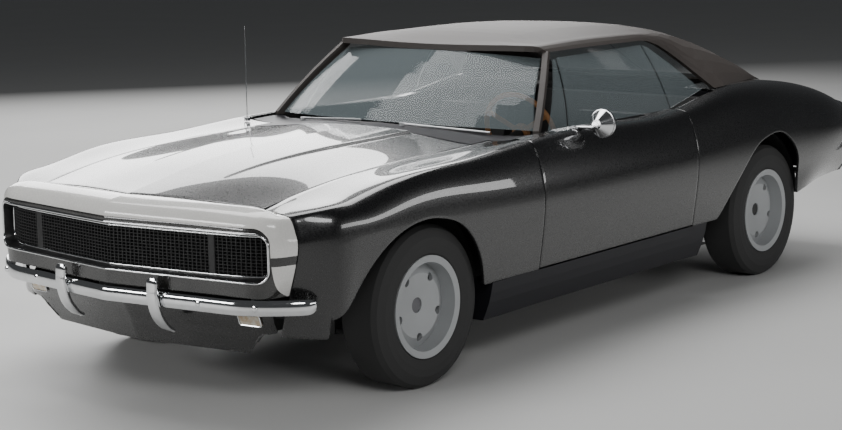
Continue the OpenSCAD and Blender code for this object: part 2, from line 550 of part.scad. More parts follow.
// Windscreen: a bent sheet between the cowl, the pillars and the roof
function screen_point(u, w, back) = let (x0 = (half_w - 198) * u, x1 = (roof_half_w - 44) * u,
    y0 = front_axle_y + 716 + 186 * u * u, y1 = roof_front_y + 4 + (roof_corner_y - roof_front_y - 18) * u * u,
    z0 = belt_z + 28 - 20 * u * u, z1 = overall_h - 66 - (roof_crown - 52) * u * u, bow = sin(180 * w) * 26)
    [x0 + (x1 - x0) * w, y0 + (y1 - y0) * w - bow + back, z0 + (z1 - z0) * w];
module windshield() color([0.2, 0.24, 0.25, 0.35]) both_sides() slab(
    [for (u = steps(0, 1, 9)) [for (w = steps(0.01, 0.965, 6)) screen_point(u, w, 0)]],
    [for (u = steps(0, 1, 9)) [for (w = steps(0.01, 0.965, 6)) screen_point(u, w, glass_t + 2)]]);

// Side glass leans in and bows between the waist and the gutters
function glass_x(z) = let (f = (z - belt_z) / (gutter_z - belt_z))
    half_w - 152 - (half_w - 152 - (roof_half_w - 16)) * f + 16 * sin(180 * min(max(f, 0), 1));
module side_sheet(low, high, z0, z1, n = 5) slab(
    [for (w = steps(0, 1, n)) [for (f = [1, 0.5, 0]) let (z = z0(f) + (z1(f) - z0(f)) * w)
        [glass_x(z), low[0] + (low[1] - low[0]) * f + (high[0] - low[0] + (high[1] - high[0] - low[1] + low[0]) * f) * w, z]]],
    [for (w = steps(0, 1, n)) [for (f = [1, 0.5, 0]) let (z = z0(f) + (z1(f) - z0(f)) * w)
        [glass_x(z) - glass_t, low[0] + (low[1] - low[0]) * f + (high[0] - low[0] + (high[1] - high[0] - low[1] + low[0]) * f) * w, z]]]);
glass_top_z = gutter_z - 24;
door_top_z = body_point(door_rear_y, 6)[2] + 2 * seat_gap;
module door_glass_side() {
    side_sheet([front_axle_y + 1110, door_rear_y - 10], [front_axle_y + 1252, door_rear_y - 10], function (f) door_top_z,
        function (f) glass_top_z + 4 * f);
    side_sheet([front_axle_y + 950, front_axle_y + 1092], [front_axle_y + 1215, front_axle_y + 1232],
        function (f) body_point(front_axle_y + 1092, 6)[2] + 4 * seat_gap,
        function (f) glass_top_z - 6);
}
module left_door_glass() color([0.2, 0.24, 0.25, 0.35]) door_glass_side();
module right_door_glass() color([0.2, 0.24, 0.25, 0.35]) mirror([1, 0, 0]) door_glass_side();
module quarter_windows() color([0.2, 0.24, 0.25, 0.35]) both_sides()
    side_sheet([door_rear_y + 4, rear_axle_y - 470], [door_rear_y + 4, front_axle_y + 1996], function (f) belt_z + 8 + 56 * f,
        function (f) glass_top_z + 4 - 14 * f);

// ---- Bonnet, cowl, boot lid and doors ----
module lid_half(start, end_y, edge, n) {
    rows = [for (r = steps(0, 1, n)) [for (f = steps(0, 1, 12))
        let (y0 = start((1 - f) * edge(start(hood_half_w))), y = y0 + (end_y - y0) * r, x = (1 - f) * edge(y))
        [x, y, deck_z(x, y)]]];
    slab(rows, [for (row = rows) [for (p = row) p - [0, 0, skin_t]]]);
}
module hood() color("#101113") both_sides() lid_half(function (x) joint_y(x) + panel_gap, hood_rear_y,
    function (y) hood_edge(y) - panel_gap / 2, 12);
cowl_front_y = hood_rear_y + panel_gap;
function cowl_rear(x) = front_axle_y + 724 + 176 * pow(x / (half_w - 196), 2);
module cowl_part(x0, x1, front, n) {
    rows = [for (f = steps(0, 1, 4)) [for (x = steps(x1, x0, n)) let (y = front + (cowl_rear(x) - front) * f)
        [x, y, deck_z(x, y)]]];
    slab(rows, [for (row = rows) [for (p = row) p - [0, 0, skin_t]]]);
}
module cowl_panel() color("#101113") both_sides() {
    edge = hood_half_w - panel_gap / 2;
    cowl_part(0, edge, cowl_front_y, 8);
    cowl_part(edge - 8, door_inner_x - 6, door_front_y + 2, 3);
    hull() {
        box([edge - 30, door_front_y + 10, belt_z - 50], [door_inner_x - 6, door_front_y + 24, belt_z - 22]);
        box([edge - 30, front_axle_y + 850, belt_z - 50], [door_inner_x - 6, front_axle_y + 890, belt_z - 14]);
    }
}
module hinge_pillars() color("#101113") both_sides() {
    box([door_inner_x - 74, firewall_y + seat_gap, floor_z + 20], [door_inner_x - 7, door_front_y + 40, belt_z - 50 - seat_gap]);
    // Hinge halves, just ahead of the door's front face
    for (z = [450, 730]) box([door_inner_x - 8, door_front_y - 20, z], [door_inner_x + 25, door_front_y + 7.2, z + 70]);
}
module trunk_lid() color("#101113") both_sides()
    lid_half(function (x) lid_front_y + 3, lid_rear_y, function (y) lid_half_w - panel_gap / 2 - 2, 8);
function door_inner(y) = door_inner_x + 18 * (1 - min(max((y - door_front_y - 250) / 60, 0), 1));
module door_side() {
    ys = steps(door_front_y, door_rear_y, 14);
    fs = [0, 0.06, 0.14, 0.22, 0.3, 0.36, 0.46, 0.56, 0.66, 0.76, 0.85, 0.91, 0.96, 1];
    slab([for (y = ys) let (v0 = side_v(door_bottom_z, y)) [for (f = fs) body_point(y, v0 + (6 - v0) * f)]],
        [for (y = ys) let (v0 = side_v(door_bottom_z, y)) [for (f = fs)
            [door_inner(y), min(max(y, door_front_y + 8), door_rear_y - 15), body_point(y, v0 + (6 - v0) * f)[2]]]]);
}
module left_door() color("#101113") door_side();
module right_door() color("#101113") mirror([1, 0, 0]) door_side();
mirror_pos = [half_w + 10, front_axle_y + 1120, belt_z + 34];
mirror_foot = [half_w - 134, mirror_pos[1] - 20, body_point(mirror_pos[1] - 20, 6)[2] + seat_gap];
module door_mirror() color("#c9cccf") {
    translate(mirror_pos) rotate([-90, 0, 0]) {
        cylinder(h = 12, r = 62, $fn = 48);
        translate([0, 0, -46]) cylinder(h = 46.5, r1 = 22, r2 = 60, $fn = 48);
    }
    hull() {
        translate(mirror_pos + [-20, -20, -20]) sphere(10, $fn = 16);
        translate(mirror_foot + [0, 0, 8]) sphere(8, $fn = 16);
    }
    translate(mirror_foot) cylinder(h = 7, r = 11, $fn = 32);
}

// ---- Floor, running gear and cabin ----
firewall_y = front_axle_y + 660;
kick_y = rear_axle_y - 430;
module floor_pan() color("#18191a") {
    t = floor_t;
    w = door_inner_x + 4 - seat_gap;
    translate([0, kick_y, 0]) rotate([90, 0, 0]) linear_extrude(kick_y - firewall_y) polygon([[-w, floor_z - t],
        [-tunnel_half_w, floor_z - t], [-tunnel_half_w + 40, tunnel_z - t], [tunnel_half_w - 40, tunnel_z - t],
        [tunnel_half_w, floor_z - t], [w, floor_z - t], [w, floor_z], [tunnel_half_w + t, floor_z],
        [tunnel_half_w - 40 + t, tunnel_z], [-tunnel_half_w + 40 - t, tunnel_z], [-tunnel_half_w - t, floor_z], [-w, floor_z]]);
    difference() {
        box([-w, firewall_y - t, floor_z - t], [w, firewall_y, belt_z - 40]);
        box([-tunnel_half_w + 10, firewall_y - 2 * t, 0], [tunnel_half_w - 10, firewall_y + 1, tunnel_z - t]);
    }
    x = floor_half_w;
    box([-x, kick_y - t, floor_z - t], [-tunnel_half_w, kick_y, 500]);
    box([tunnel_half_w, kick_y - t, floor_z - t], [x, kick_y, 500]);
    box([-tunnel_half_w, kick_y - t, tunnel_z - t], [tunnel_half_w, kick_y, 500]);
    box([-x, kick_y - t, 490], [x, rear_axle_y + 330, 500]);
    box([-x, rear_axle_y + 320, 400], [x, rear_axle_y + 330, 500]);
    box([-x, rear_axle_y + 320, 400], [x, tail_face_y - 45, 410]);
}
module front_subframe() color("#18191a") {
    both_sides() {
        box([330, front_axle_y - 640, 250], [400, firewall_y - floor_t - seat_gap, 350]);
        box([330, front_axle_y + 560, 190], [400, firewall_y - floor_t - seat_gap, 350]);
        box([330, front_axle_y + 560, 190], [400, front_axle_y + 900, floor_z - floor_t - seat_gap]);
    }
    box([-330, front_axle_y - 60, 215], [330, front_axle_y + 60, 265]);
    box([-330, front_axle_y - 640, 265], [330, front_axle_y - 600, 325]);
    both_sides() box([340, front_axle_y - 80, 178], [420, front_axle_y + 80, 520]);
}
module engine() color("#3a3c3e") {
    box([-280, front_axle_y - 330, 285], [280, front_axle_y + 380, 760]);
    box([-100, front_axle_y + 380, 250], [100, front_axle_y + 1150, tunnel_z - floor_t - 40]);
    both_sides() box([279, front_axle_y + 100, 350 + seat_gap], [370, front_axle_y + 180, 400]);
}
module radiator() color("#151515") {
    box([-400, front_axle_y - 600, 350 + seat_gap], [400, front_axle_y - 545, 770]);
}
ball_z = 135;
arm_r = 13;
module control_arms() color("#222325") both_sides() for (z = [hub_z - ball_z, hub_z + ball_z], s = [-1, 1])
    bar([kingpin_x, front_axle_y, z], [420 + arm_r + seat_gap, front_axle_y + 70 * s, z], arm_r);
module knuckle_side() {
    half_h = ball_z - arm_r - seat_gap;
    translate([kingpin_x - 18, front_axle_y - 20, hub_z - half_h]) cube([40, 40, 2 * half_h]);
    translate([kingpin_x, front_axle_y, hub_z]) rotate([0, 90, 0]) {
        cylinder(h = front_track / 2 + 30 - kingpin_x, r = spindle_r, $fn = 48);
        translate([0, 0, 21]) cylinder(h = 18, r = 110, $fn = 48);
    }
}
module left_knuckle() color("#3a3c3e") knuckle_side();
module right_knuckle() color("#3a3c3e") mirror([1, 0, 0]) knuckle_side();
diff_r = 105;
module rear_axle() color("#1c1d1e") {
    x = rear_track / 2 + 30;
    translate([-x, rear_axle_y, hub_z]) rotate([0, 90, 0]) cylinder(h = 2 * x, r = spindle_r, $fn = 48);
    translate([-110, rear_axle_y, hub_z]) rotate([0, 90, 0]) cylinder(h = 220, r = diff_r, $fn = 48);
    for (s = [-1, 1]) translate([s * (x - 80) - 20, rear_axle_y, hub_z]) rotate([0, 90, 0]) cylinder(h = 36, r = 110, $fn = 48);
}
module rear_springs() color("#1c1d1e") both_sides() {
    box([500, kick_y + seat_gap, hub_z - spindle_r - 28], [560, rear_axle_y + 640, hub_z - spindle_r - seat_gap]);
    box([515, rear_axle_y + 600, hub_z - spindle_r - 10], [545, rear_axle_y + 640, 400 - seat_gap]);
}
module driveshaft() color("#1c1d1e")
    translate([0, front_axle_y + 1150 + seat_gap, hub_z]) rotate([-90, 0, 0])
        cylinder(h = wheelbase - 1150 - 2 * seat_gap - diff_r, r = 38, $fn = 32);
exhaust_r = 25;
module exhaust() color("#8a8a88") both_sides() {
    z = floor_z - floor_t - exhaust_r - seat_gap;
    rod([180, front_axle_y + 700, z], [180, kick_y - 20, z], exhaust_r);
}
module fuel_tank() color("#1c1d1e") box([-350, rear_axle_y + 340, 240], [350, rear_axle_y + 840, 400 - seat_gap]);
antenna_x = half_w - 197;
antenna_y = front_axle_y + 652;
module antenna() color("#c9cccf") translate([-antenna_x, antenna_y, deck_z(antenna_x - 14, antenna_y) + 4.4]) {
    cylinder(h = 16, r = 14, $fn = 32);
    cylinder(h = 440, r = 2, $fn = 16);
}
module wipers() color("#c9cccf") for (x = [-480, 160]) {
    a = [x, cowl_rear(abs(x)) - 34, deck_z(abs(x), cowl_rear(abs(x)) - 34) + 10.8];
    b = [x + 400, cowl_rear(abs(x + 400)) - 22, deck_z(abs(x + 400), cowl_rear(abs(x + 400)) - 22) + 12];
    rod(a, b, 5);
    translate(a - [0, 0, 9.4]) cylinder(h = 14, r = 12, $fn = 24);
}
dash_x = door_inner_x - 85;
column_foot = [370, front_axle_y + 980, 740];
column_dir = [0, 310, 105] / norm([0, 310, 105]);
column_l = 327;
module dashboard() color("#151515") {
    hull() {
        box([-dash_x, firewall_y + seat_gap, 700], [dash_x, firewall_y + 60, 850]);
        box([-dash_x, front_axle_y + 900, 640], [dash_x, front_axle_y + 1010, 856]);
    }
    rod(column_foot, column_foot + column_l * column_dir, 24);
}
seat_x = tunnel_half_w + 25;
module front_seats() color("#151515") both_sides() {
    for (x = [210, 600]) box([x, front_axle_y + 1470, floor_z + seat_gap], [x + 30, front_axle_y + 1930, 310]);
    hull() {
        box([seat_x, front_axle_y + 1440, 300], [seat_x + 480, front_axle_y + 1480, 430]);
        box([seat_x, front_axle_y + 1900, 280], [seat_x + 480, front_axle_y + 1940, 400]);
    }
    hull() {
        box([seat_x + 10, front_axle_y + 1850, 390], [seat_x + 470, front_axle_y + 1950, 440]);
        box([seat_x + 30, front_axle_y + 2010, 800], [seat_x + 450, front_axle_y + 2070, 870]);
    }
}
module rear_seat() color("#151515") {
    box([-600, kick_y - 30, 500 + seat_gap], [600, rear_axle_y - 60, 600]);
    hull() {
        box([-600, rear_axle_y - 60, 500 + seat_gap], [600, rear_axle_y + 60, 540]);
        box([-600, rear_axle_y + 80, 800], [600, rear_axle_y + 160, 860]);
    }
}
module steering_wheel() color("#7a4a22")
    translate(column_foot + (column_l + 15 + seat_gap) * column_dir) rotate([-acos(column_dir[2]), 0, 0]) {
    rotate_extrude($fn = 64) translate([steering_d / 2 - 12, 0]) circle(12, $fn = 20);
    cylinder(h = 30, r = 40, center = true, $fn = 32);
    for (a = [90, 210, 330]) rotate([0, 0, a]) translate([30, -12, -3]) cube([steering_d / 2 - 38, 24, 6]);
}

// ---- Wheels ----
module tyre() color("#161616") rotate([0, 90, 0]) rotate_extrude($fn = 96) {
    r = rim_d / 2;
    h = rim_w / 2;
    half = [[r + seat_gap, h - 9.5], [r + 17, h - 1.6], [r + 24, h + 6], [r + 58, tyre_w / 2], [r + 88, tyre_w / 2],
        [tyre_d / 2 - 14, tyre_w / 2 - 14], [tyre_d / 2, tyre_w / 2 - 34]];
    polygon(concat(half, [for (i = [len(half) - 1:-1:0]) [half[i][0], -half[i][1]]]));
}
module rim(side) color("#9da0a3") rotate([0, 90, 0]) difference() {
    r = rim_d / 2;
    h = rim_w / 2;
    rotate_extrude($fn = 96) polygon([[spindle_r + spindle_fit, 10 * side], [r - 60, 30 * side], [r - 16, 8 * side],
        [r - 14, -(h - 4) * side], [r + 16, -(h + 2) * side], [r + 16, -(h - 1) * side], [r, -(h - 9) * side],
        [r, (h - 9) * side], [r + 16, (h - 1) * side], [r + 16, (h + 6) * side], [r - 12, (h + 2) * side],
        [r - 18, 26 * side], [r - 60, 48 * side], [spindle_r + spindle_fit, 36 * side]]);
    for (a = [0:72:288]) rotate([0, 0, a]) translate([r - 62, 0, -200]) cylinder(h = 400, r = 17, $fn = 32);
}
front_left = [front_track / 2, front_axle_y, hub_z];
front_right = [-front_track / 2, front_axle_y, hub_z];
rear_left = [rear_track / 2, rear_axle_y, hub_z];
rear_right = [-rear_track / 2, rear_axle_y, hub_z];
module front_left_tyre() translate(front_left) tyre();
module front_left_rim() translate(front_left) rim(1);
module front_right_tyre() translate(front_right) tyre();
module front_right_rim() translate(front_right) rim(-1);
module rear_left_tyre() translate(rear_left) tyre();
module rear_left_rim() translate(rear_left) rim(1);
module rear_right_tyre() translate(rear_right) tyre();
module rear_right_rim() translate(rear_right) rim(-1);

floor_pan();
front_subframe();
engine();
radiator();
control_arms();
driveshaft();
rear_axle();
rear_springs();
exhaust();
fuel_tank();
rocker_panels();
left_fender();
right_fender();
inner_fenders();
left_quarter_panel();
right_quarter_panel();
rear_wheel_houses();
rear_deck();
cowl_panel();
hinge_pillars();
nose_panel();
grille();
headlamp_covers();
front_valance();
tail_panel();
front_bumper();
rear_bumper();
plate_bracket();
lamps();
roof();
windshield();
rear_window();
quarter_windows();
wipers();
antenna();
dashboard();
front_seats();
rear_seat();
steering_wheel();
hood();
trunk_lid();
left_door();
left_door_glass();
door_mirror();
right_door();
right_door_glass();
left_knuckle();
right_knuckle();
front_left_tyre();
front_left_rim();
front_right_tyre();
front_right_rim();
rear_left_tyre();
rear_left_rim();
rear_right_tyre();
rear_right_rim();
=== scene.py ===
import math
import bmesh
import bpy
import numpy as np
from mathutils import Matrix, Vector


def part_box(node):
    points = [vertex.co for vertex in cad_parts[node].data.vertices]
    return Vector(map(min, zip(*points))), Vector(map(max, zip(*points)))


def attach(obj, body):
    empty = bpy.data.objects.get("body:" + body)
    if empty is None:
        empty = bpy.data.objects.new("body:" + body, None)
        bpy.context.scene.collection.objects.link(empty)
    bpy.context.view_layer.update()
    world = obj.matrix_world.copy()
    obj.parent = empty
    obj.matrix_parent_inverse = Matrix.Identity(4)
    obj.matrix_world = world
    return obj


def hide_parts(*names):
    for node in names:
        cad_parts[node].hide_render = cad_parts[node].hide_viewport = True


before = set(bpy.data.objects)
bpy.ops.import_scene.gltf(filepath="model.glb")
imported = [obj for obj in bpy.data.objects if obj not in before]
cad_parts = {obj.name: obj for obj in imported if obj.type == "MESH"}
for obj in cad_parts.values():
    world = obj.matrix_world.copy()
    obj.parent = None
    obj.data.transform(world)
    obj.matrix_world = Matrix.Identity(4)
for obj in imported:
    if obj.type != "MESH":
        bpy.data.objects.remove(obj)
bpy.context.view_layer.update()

# ---- Studio: camera, floor and lights ----
# The car stands on a plain pale floor under large soft lamps, with the
# camera at about two metres, ahead of the left front wheel.
MM = 0.001
scene = bpy.context.scene
yaw, pitch, roll = (math.radians(a) for a in (38.48, 9.579, -0.992))
ahead = Vector((-math.sin(yaw) * math.cos(pitch), math.cos(yaw) * math.cos(pitch), -math.sin(pitch)))
level = Vector((math.cos(yaw), math.sin(yaw), 0))
upward = level.cross(ahead)
cam_x = level * math.cos(roll) + upward * math.sin(roll)
cam_y = upward * math.cos(roll) - level * math.sin(roll)
cam_data = bpy.data.cameras.new("camera")
cam_data.sensor_width = 36
cam_data.lens = 84.82
camera = bpy.data.objects.new("camera", cam_data)
scene.collection.objects.link(camera)
cam_turn = Matrix((cam_x, cam_y, -ahead)).transposed().to_4x4()
camera.matrix_world = Matrix.Translation((5.5998, -7.4266, 1.9912)) @ cam_turn
scene.camera = camera


class Value:
    """A socket of a material; + - * / and comparisons on it add Math nodes."""

    def __init__(self, socket):
        self.socket = socket

    def math(self, operation, *terms):
        node = self.socket.id_data.nodes.new("ShaderNodeMath")
        node.operation = operation
        for slot, term in zip(node.inputs, terms):
            if isinstance(term, Value):
                self.socket.id_data.links.new(term.socket, slot)
            else:
                slot.default_value = term
        return Value(node.outputs[0])

    def __add__(self, other): return self.math("ADD", self, other)
    def __radd__(self, other): return self.math("ADD", other, self)
    def __sub__(self, other): return self.math("SUBTRACT", self, other)
    def __rsub__(self, other): return self.math("SUBTRACT", other, self)
    def __mul__(self, other): return self.math("MULTIPLY", self, other)
    def __rmul__(self, other): return self.math("MULTIPLY", other, self)
    def __truediv__(self, other): return self.math("DIVIDE", self, other)
    def __gt__(self, other): return self.math("GREATER_THAN", self, other)
    def __lt__(self, other): return self.math("LESS_THAN", self, other)
    def __abs__(self): return self.math("ABSOLUTE", self)
    def __pow__(self, power): return self.math("POWER", self, power)


class Finish:
    """One material: constants sit on the shader's sockets, what varies is fed to it."""

    def __init__(self, name, **constants):
        self.material = bpy.data.materials.new(name)
        self.material.use_nodes = True
        self.tree = self.material.node_tree
        self.shader = self.tree.nodes["Principled BSDF"]
        for key, value in constants.items():
            socket = self.shader.inputs[key.replace("_", " ").title().replace("Ior", "IOR")]
            socket.default_value = (*value, 1) if isinstance(value, tuple) else value

    def node(self, kind, inputs=None, out=0, stops=None, **settings):
        node = self.tree.nodes.new("ShaderNode" + kind)
        for key, value in settings.items():
            setattr(node, key, value)
        if stops:
            ramp = node.color_ramp
            while len(ramp.elements) < len(stops):
                ramp.elements.new(1)
            for element, (place, colour) in zip(ramp.elements, stops):
                element.position = place
                element.color = (*colour, 1) if isinstance(colour, tuple) else (colour, colour, colour, 1)
        for key, value in (inputs or {}).items():
            slot = node.inputs[key]
            if isinstance(value, Value):
                self.tree.links.new(value.socket, slot)
            else:
                slot.default_value = value
        return Value(node.outputs[out])

    def place(self, scale=(1, 1, 1), turn=(0, 0, 0)):
        here = self.node("TexCoord", out="Object")
        return self.node("Mapping", {"Vector": here, "Scale": scale, "Rotation": turn})

    def noise(self, scale, detail=3, vector=None, rough=0.5):
        return self.node("TexNoise", {
            "Vector": vector or self.place(), "Scale": scale, "Detail": detail, "Roughness": rough})

    def spread(self, value, low, high, at=(0.3, 0.7)):
        return self.node("MapRange", {
            "Value": value, "From Min": at[0], "From Max": at[1], "To Min": low, "To Max": high})

    def blend(self, mask, first, second):
        mix = self.tree.nodes.new("ShaderNodeMix")
        mix.data_type = "RGBA"
        for slot, value in ((mix.inputs[0], mask), (mix.inputs[6], first), (mix.inputs[7], second)):
            if isinstance(value, Value):
                self.tree.links.new(value.socket, slot)
            else:
                slot.default_value = (*value, 1) if isinstance(value, tuple) else value
        return Value(mix.outputs[2])

    def bump(self, height, strength, distance=0.001, under=None):
        inputs = {"Height": height, "Strength": strength, "Distance": distance}
        if under:
            inputs["Normal"] = under
        return self.node("Bump", inputs)

    def feed(self, **links):
        for key, value in links.items():
            self.tree.links.new(value.socket, self.shader.inputs[key.replace("_", " ").title()])
        return self


def stage_plane(name, size, place, finish):
    bpy.ops.object.select_all(action="DESELECT")
    bpy.ops.mesh.primitive_plane_add(size=size, location=place)
    plane = bpy.context.object
    plane.name = name
    plane.data.materials.append(finish.material)


floor_finish = Finish("studio_floor", base_color=(0.62, 0.62, 0.61), roughness=0.55, specular_ior_level=0.25)
floor_finish.feed(roughness=floor_finish.spread(floor_finish.noise(1.3), 0.5, 0.62))
stage_plane("studio_floor", 60, (0, 0, -0.0005), floor_finish)

world = bpy.data.worlds.new("studio")
world.use_nodes = True
world.node_tree.nodes["Background"].inputs["Color"].default_value = (0.50, 0.52, 0.54, 1)
world.node_tree.nodes["Background"].inputs["Strength"].default_value = 0.10
scene.world = world


def soft_lamp(name, place, aim, size, power):
    data = bpy.data.lights.new(name, "AREA")
    data.shape = "RECTANGLE"
    data.size, data.size_y = size
    data.energy = power
    lamp = bpy.data.objects.new(name, data)
    scene.collection.objects.link(lamp)
    lamp.location = place
    lamp.rotation_euler = (Vector(aim) - Vector(place)).to_track_quat("-Z", "Y").to_euler()
    lamp.visible_camera = False


soft_lamp("overhead", (-1.0, 0.5, 5.2), (0, 0, 0), (6.5, 3.2), 330)
soft_lamp("far_side", (-7.5, 5.5, 4.2), (0, -0.4, 0.6), (9.0, 4.2), 620)
soft_lamp("near_side", (5.5, -5.0, 4.2), (0.4, -0.4, 0.5), (3.5, 1.4), 150)
soft_lamp("front", (-3.0, -7.5, 2.6), (0, -1.5, 0.5), (4.0, 1.2), 190)
soft_lamp("wheel_light", (4.5, 1.0, 1.3), (0.8, 0.2, 0.4), (5.0, 0.5), 40)

# ---- Body shape ----
# The lower body is pressed sheet steel. Its shape runs through fourteen
# cross-sections, each ten points from the sill to the centre line.
wheel_low, wheel_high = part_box("front_left_tyre")
front_y = (wheel_low.y + wheel_high.y) / 2 / MM
wheel_low, wheel_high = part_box("rear_left_tyre")
rear_y = (wheel_low.y + wheel_high.y) / 2 / MM
half_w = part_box("left_quarter_panel")[1].x / MM
belt = 910
crease = 628
sill = 205
bonnet_w = 622
lid_w = 612
door_y = front_y + 708
door_end_y = door_y + 1250
wing_y = front_y - 700
bonnet_end_y = front_y + 585
lid_y = rear_y + 300
lid_end_y = rear_y + 920
gap = 5


def bonnet_edge(y):
    return bonnet_w - 20 * (np.maximum(front_y - 120 - y, 0) / 560) ** 2


sections = [
    (front_y - 815, [330, 300, 270, 215, 222, 240, 280], [330, 400, 470, 630, 700, 735, 760, 766, 794, 812]),
    (front_y - 700, [232, 204, 178, 128, 134, 150, 186], [318, 400, 470, 640, 722, 764, 784, 790, 819, 834]),
    (front_y - 620, [92, 78, 66, 48, 56, 78, 126], [313, 392, 470, 646, 748, 788, 803, 805, 836, 849]),
    (front_y - 477, [80, 52, 32, 8, 18, 48, 108], [310, 385, 470, 648, 762, 808, 824, 830, 862, 875]),
    (front_y - 193, [94, 54, 30, 3, 13, 42, 102], [260, 340, 440, 640, 785, 850, 868, 864, 893, 907]),
    (front_y + 265, [88, 50, 28, 2, 14, 46, 108], [sill, 300, 420, crease + 2, 784, 866, 887, 884, 911, 923]),
    (door_y, [86, 49, 28, 3, 17, 54, 118], [sill, 300, 420, crease, 776, belt - 32, belt + 1, 896, 923, 934]),
    ((door_y + door_end_y) / 2, [86, 49, 28, 4, 19, 58, 122],
        [sill, 300, 420, crease, 772, belt - 36, belt, 910, 936, 946]),
    (door_end_y, [86, 49, 28, 3, 18, 55, 121],
        [sill, 300, 420, crease + 4, 776, belt - 30, belt + 4, 930, 950, 960]),
    (rear_y - 396, [88, 50, 27, 1, 14, 48, 128],
        [sill, 310, 440, crease + 8, 800, belt + 10, belt + 60, 975, 985, 990]),
    (rear_y, [60, 46, 28, 0, 12, 46, 132],
        [320, 390, 480, crease + 12, 800, belt + 5, belt + 60, 975, 990, 994]),
    (rear_y + 354, [46, 38, 28, 8, 22, 60, 146],
        [400, 450, 525, crease + 12, 780, belt - 32, belt + 24, 942, 952, 955]),
    (rear_y + 704, [134, 96, 58, 28, 42, 80, 158], [405, 455, 530, crease + 8, 742, 818, 860, 870, 882, 886]),
    (rear_y + 944, [156, 120, 90, 70, 84, 118, 186], [410, 460, 535, crease + 8, 700, 756, 786, 796, 804, 806])]


def through(places, values):
    """A curve through given values that is smooth up to its curvature."""
    x = np.array(places, float)
    v = np.array(values, float).reshape(len(x), -1)
    n, h = len(x), np.diff(x)
    a, r = np.eye(n), np.zeros_like(v)
    for i in range(1, n - 1):
        a[i, i - 1:i + 2] = h[i - 1], 2 * (h[i - 1] + h[i]), h[i]
        r[i] = 6 * ((v[i + 1] - v[i]) / h[i] - (v[i] - v[i - 1]) / h[i - 1])
    m = np.linalg.solve(a, r)

    def at(p):
        p = np.asarray(p, float)
        i = np.clip(np.searchsorted(x, p) - 1, 0, n - 2)
        w = h[i][..., None]
        q, s = (x[i + 1] - p)[..., None], (p - x[i])[..., None]
        return ((m[i] * q ** 3 + m[i + 1] * s ** 3) / (6 * w) + (v[i] / w - m[i] * w / 6) * q
                + (v[i + 1] / w - m[i + 1] * w / 6) * s)
    return at


station_at = through([s[0] for s in sections],
    [[half_w - i for i in s[1]] + [(bonnet_edge(s[0]) if s[0] < door_end_y else lid_w) * f for f in (1, 0.5, 0)]
        + s[2]
     for s in sections])
basis = through(range(10), np.eye(10))


def body(y, v):
    """Points of the lower body at a length y and a place v from sill (0) to centre (9)."""
    y, v = np.broadcast_arrays(np.asarray(y, float), np.asarray(v, float))
    values, shares = station_at(y), basis(v)
    return np.stack([(values[..., :10] * shares).sum(-1), y, (values[..., 10:] * shares).sum(-1)], -1)


def solve(test, y, low, high):
    low, high = np.full(np.shape(y), float(low)), np.full(np.shape(y), float(high))
    for _ in range(30):
        middle = (low + high) / 2
        up = test(body(y, middle))
        low, high = np.where(up, middle, low), np.where(up, high, middle)
    return (low + high) / 2


def deck_v(x, y):
    return solve(lambda p: p[..., 0] > x, np.asarray(y, float), 6, 9)


def side_v(z, y):
    return solve(lambda p: p[..., 2] < z, np.asarray(y, float), 0, 6)


def deck_z(x, y):
    return body(y, deck_v(x, y))[..., 2]


def side_x(z, y):
    return body(y, side_v(z, y))[..., 0]


def normals(grid, out=(0, 0, 0)):
    a, b = np.gradient(grid, axis=0), np.gradient(grid, axis=1)
    n = np.cross(a, b)
    n /= np.maximum(np.linalg.norm(n, axis=-1, keepdims=True), 1e-9)
    facing = (n * (grid - np.array(out))).sum()
    return n if facing > 0 else -n


def quads(rows, cols, wrap=False):
    last = rows if wrap else rows - 1
    return [(i * cols + j, (i + 1) % rows * cols + j, (i + 1) % rows * cols + j + 1, i * cols + j + 1)
            for i in range(last) for j in range(cols - 1)]


def shell(grid, thick, out=(0, 0, 0), inner=None, edge=1.5):
    """A closed panel: an outer skin, a rounded edge all round and an inner skin."""
    n = normals(grid, out)
    rows, cols = grid.shape[:2]
    loop = ([(0, j) for j in range(cols - 1)] + [(i, cols - 1) for i in range(rows - 1)]
            + [(rows - 1, j) for j in range(cols - 1, 0, -1)] + [(i, 0) for i in range(rows - 1, 0, -1)])
    back = grid - n * thick if inner is None else inner
    points = [grid.reshape(-1, 3)]
    rims = [[i * cols + j for i, j in loop]]
    count = rows * cols
    away = []
    for i, j in loop:
        d = np.zeros(3)
        if i in (0, rows - 1):
            e = grid[i, j] - grid[1 if i == 0 else rows - 2, j]
            d += e / max(np.linalg.norm(e), 1e-9)
        if j in (0, cols - 1):
            e = grid[i, j] - grid[i, 1 if j == 0 else cols - 2]
            d += e / max(np.linalg.norm(e), 1e-9)
        away.append(d / max(np.linalg.norm(d), 1))
    away = np.array(away)
    rim = np.array([grid[i, j] for i, j in loop])
    rim_n = np.array([n[i, j] for i, j in loop])
    rim_back = np.array([back[i, j] for i, j in loop])
    for out_by, down in ((0.62, 0.22), (0.94, 0.62), (1, 1)):
        points.append(rim + away * edge * out_by - rim_n * edge * down)
        rims.append(list(range(count, count + len(loop))))
        count += len(loop)
    points.append(rim_back + away * edge + rim_n * 0.5)
    rims.append(list(range(count, count + len(loop))))
    count += len(loop)
    points.append(back.reshape(-1, 3))
    rims.append([count + i * cols + j for i, j in loop])
    faces = quads(rows, cols)
    faces += [tuple(count + k for k in reversed(f)) for f in faces]
    flip = (np.cross(grid[1, 0] - grid[0, 0], grid[0, 1] - grid[0, 0]) * n[0, 0]).sum() < 0
    if flip:
        faces = [tuple(reversed(f)) for f in faces]
    k = len(loop)
    for first, second in zip(rims, rims[1:]):
        for q in range(k):
            face = (first[q], first[(q + 1) % k], second[(q + 1) % k], second[q])
            faces.append(tuple(reversed(face)) if flip else face)
    return np.concatenate(points), faces


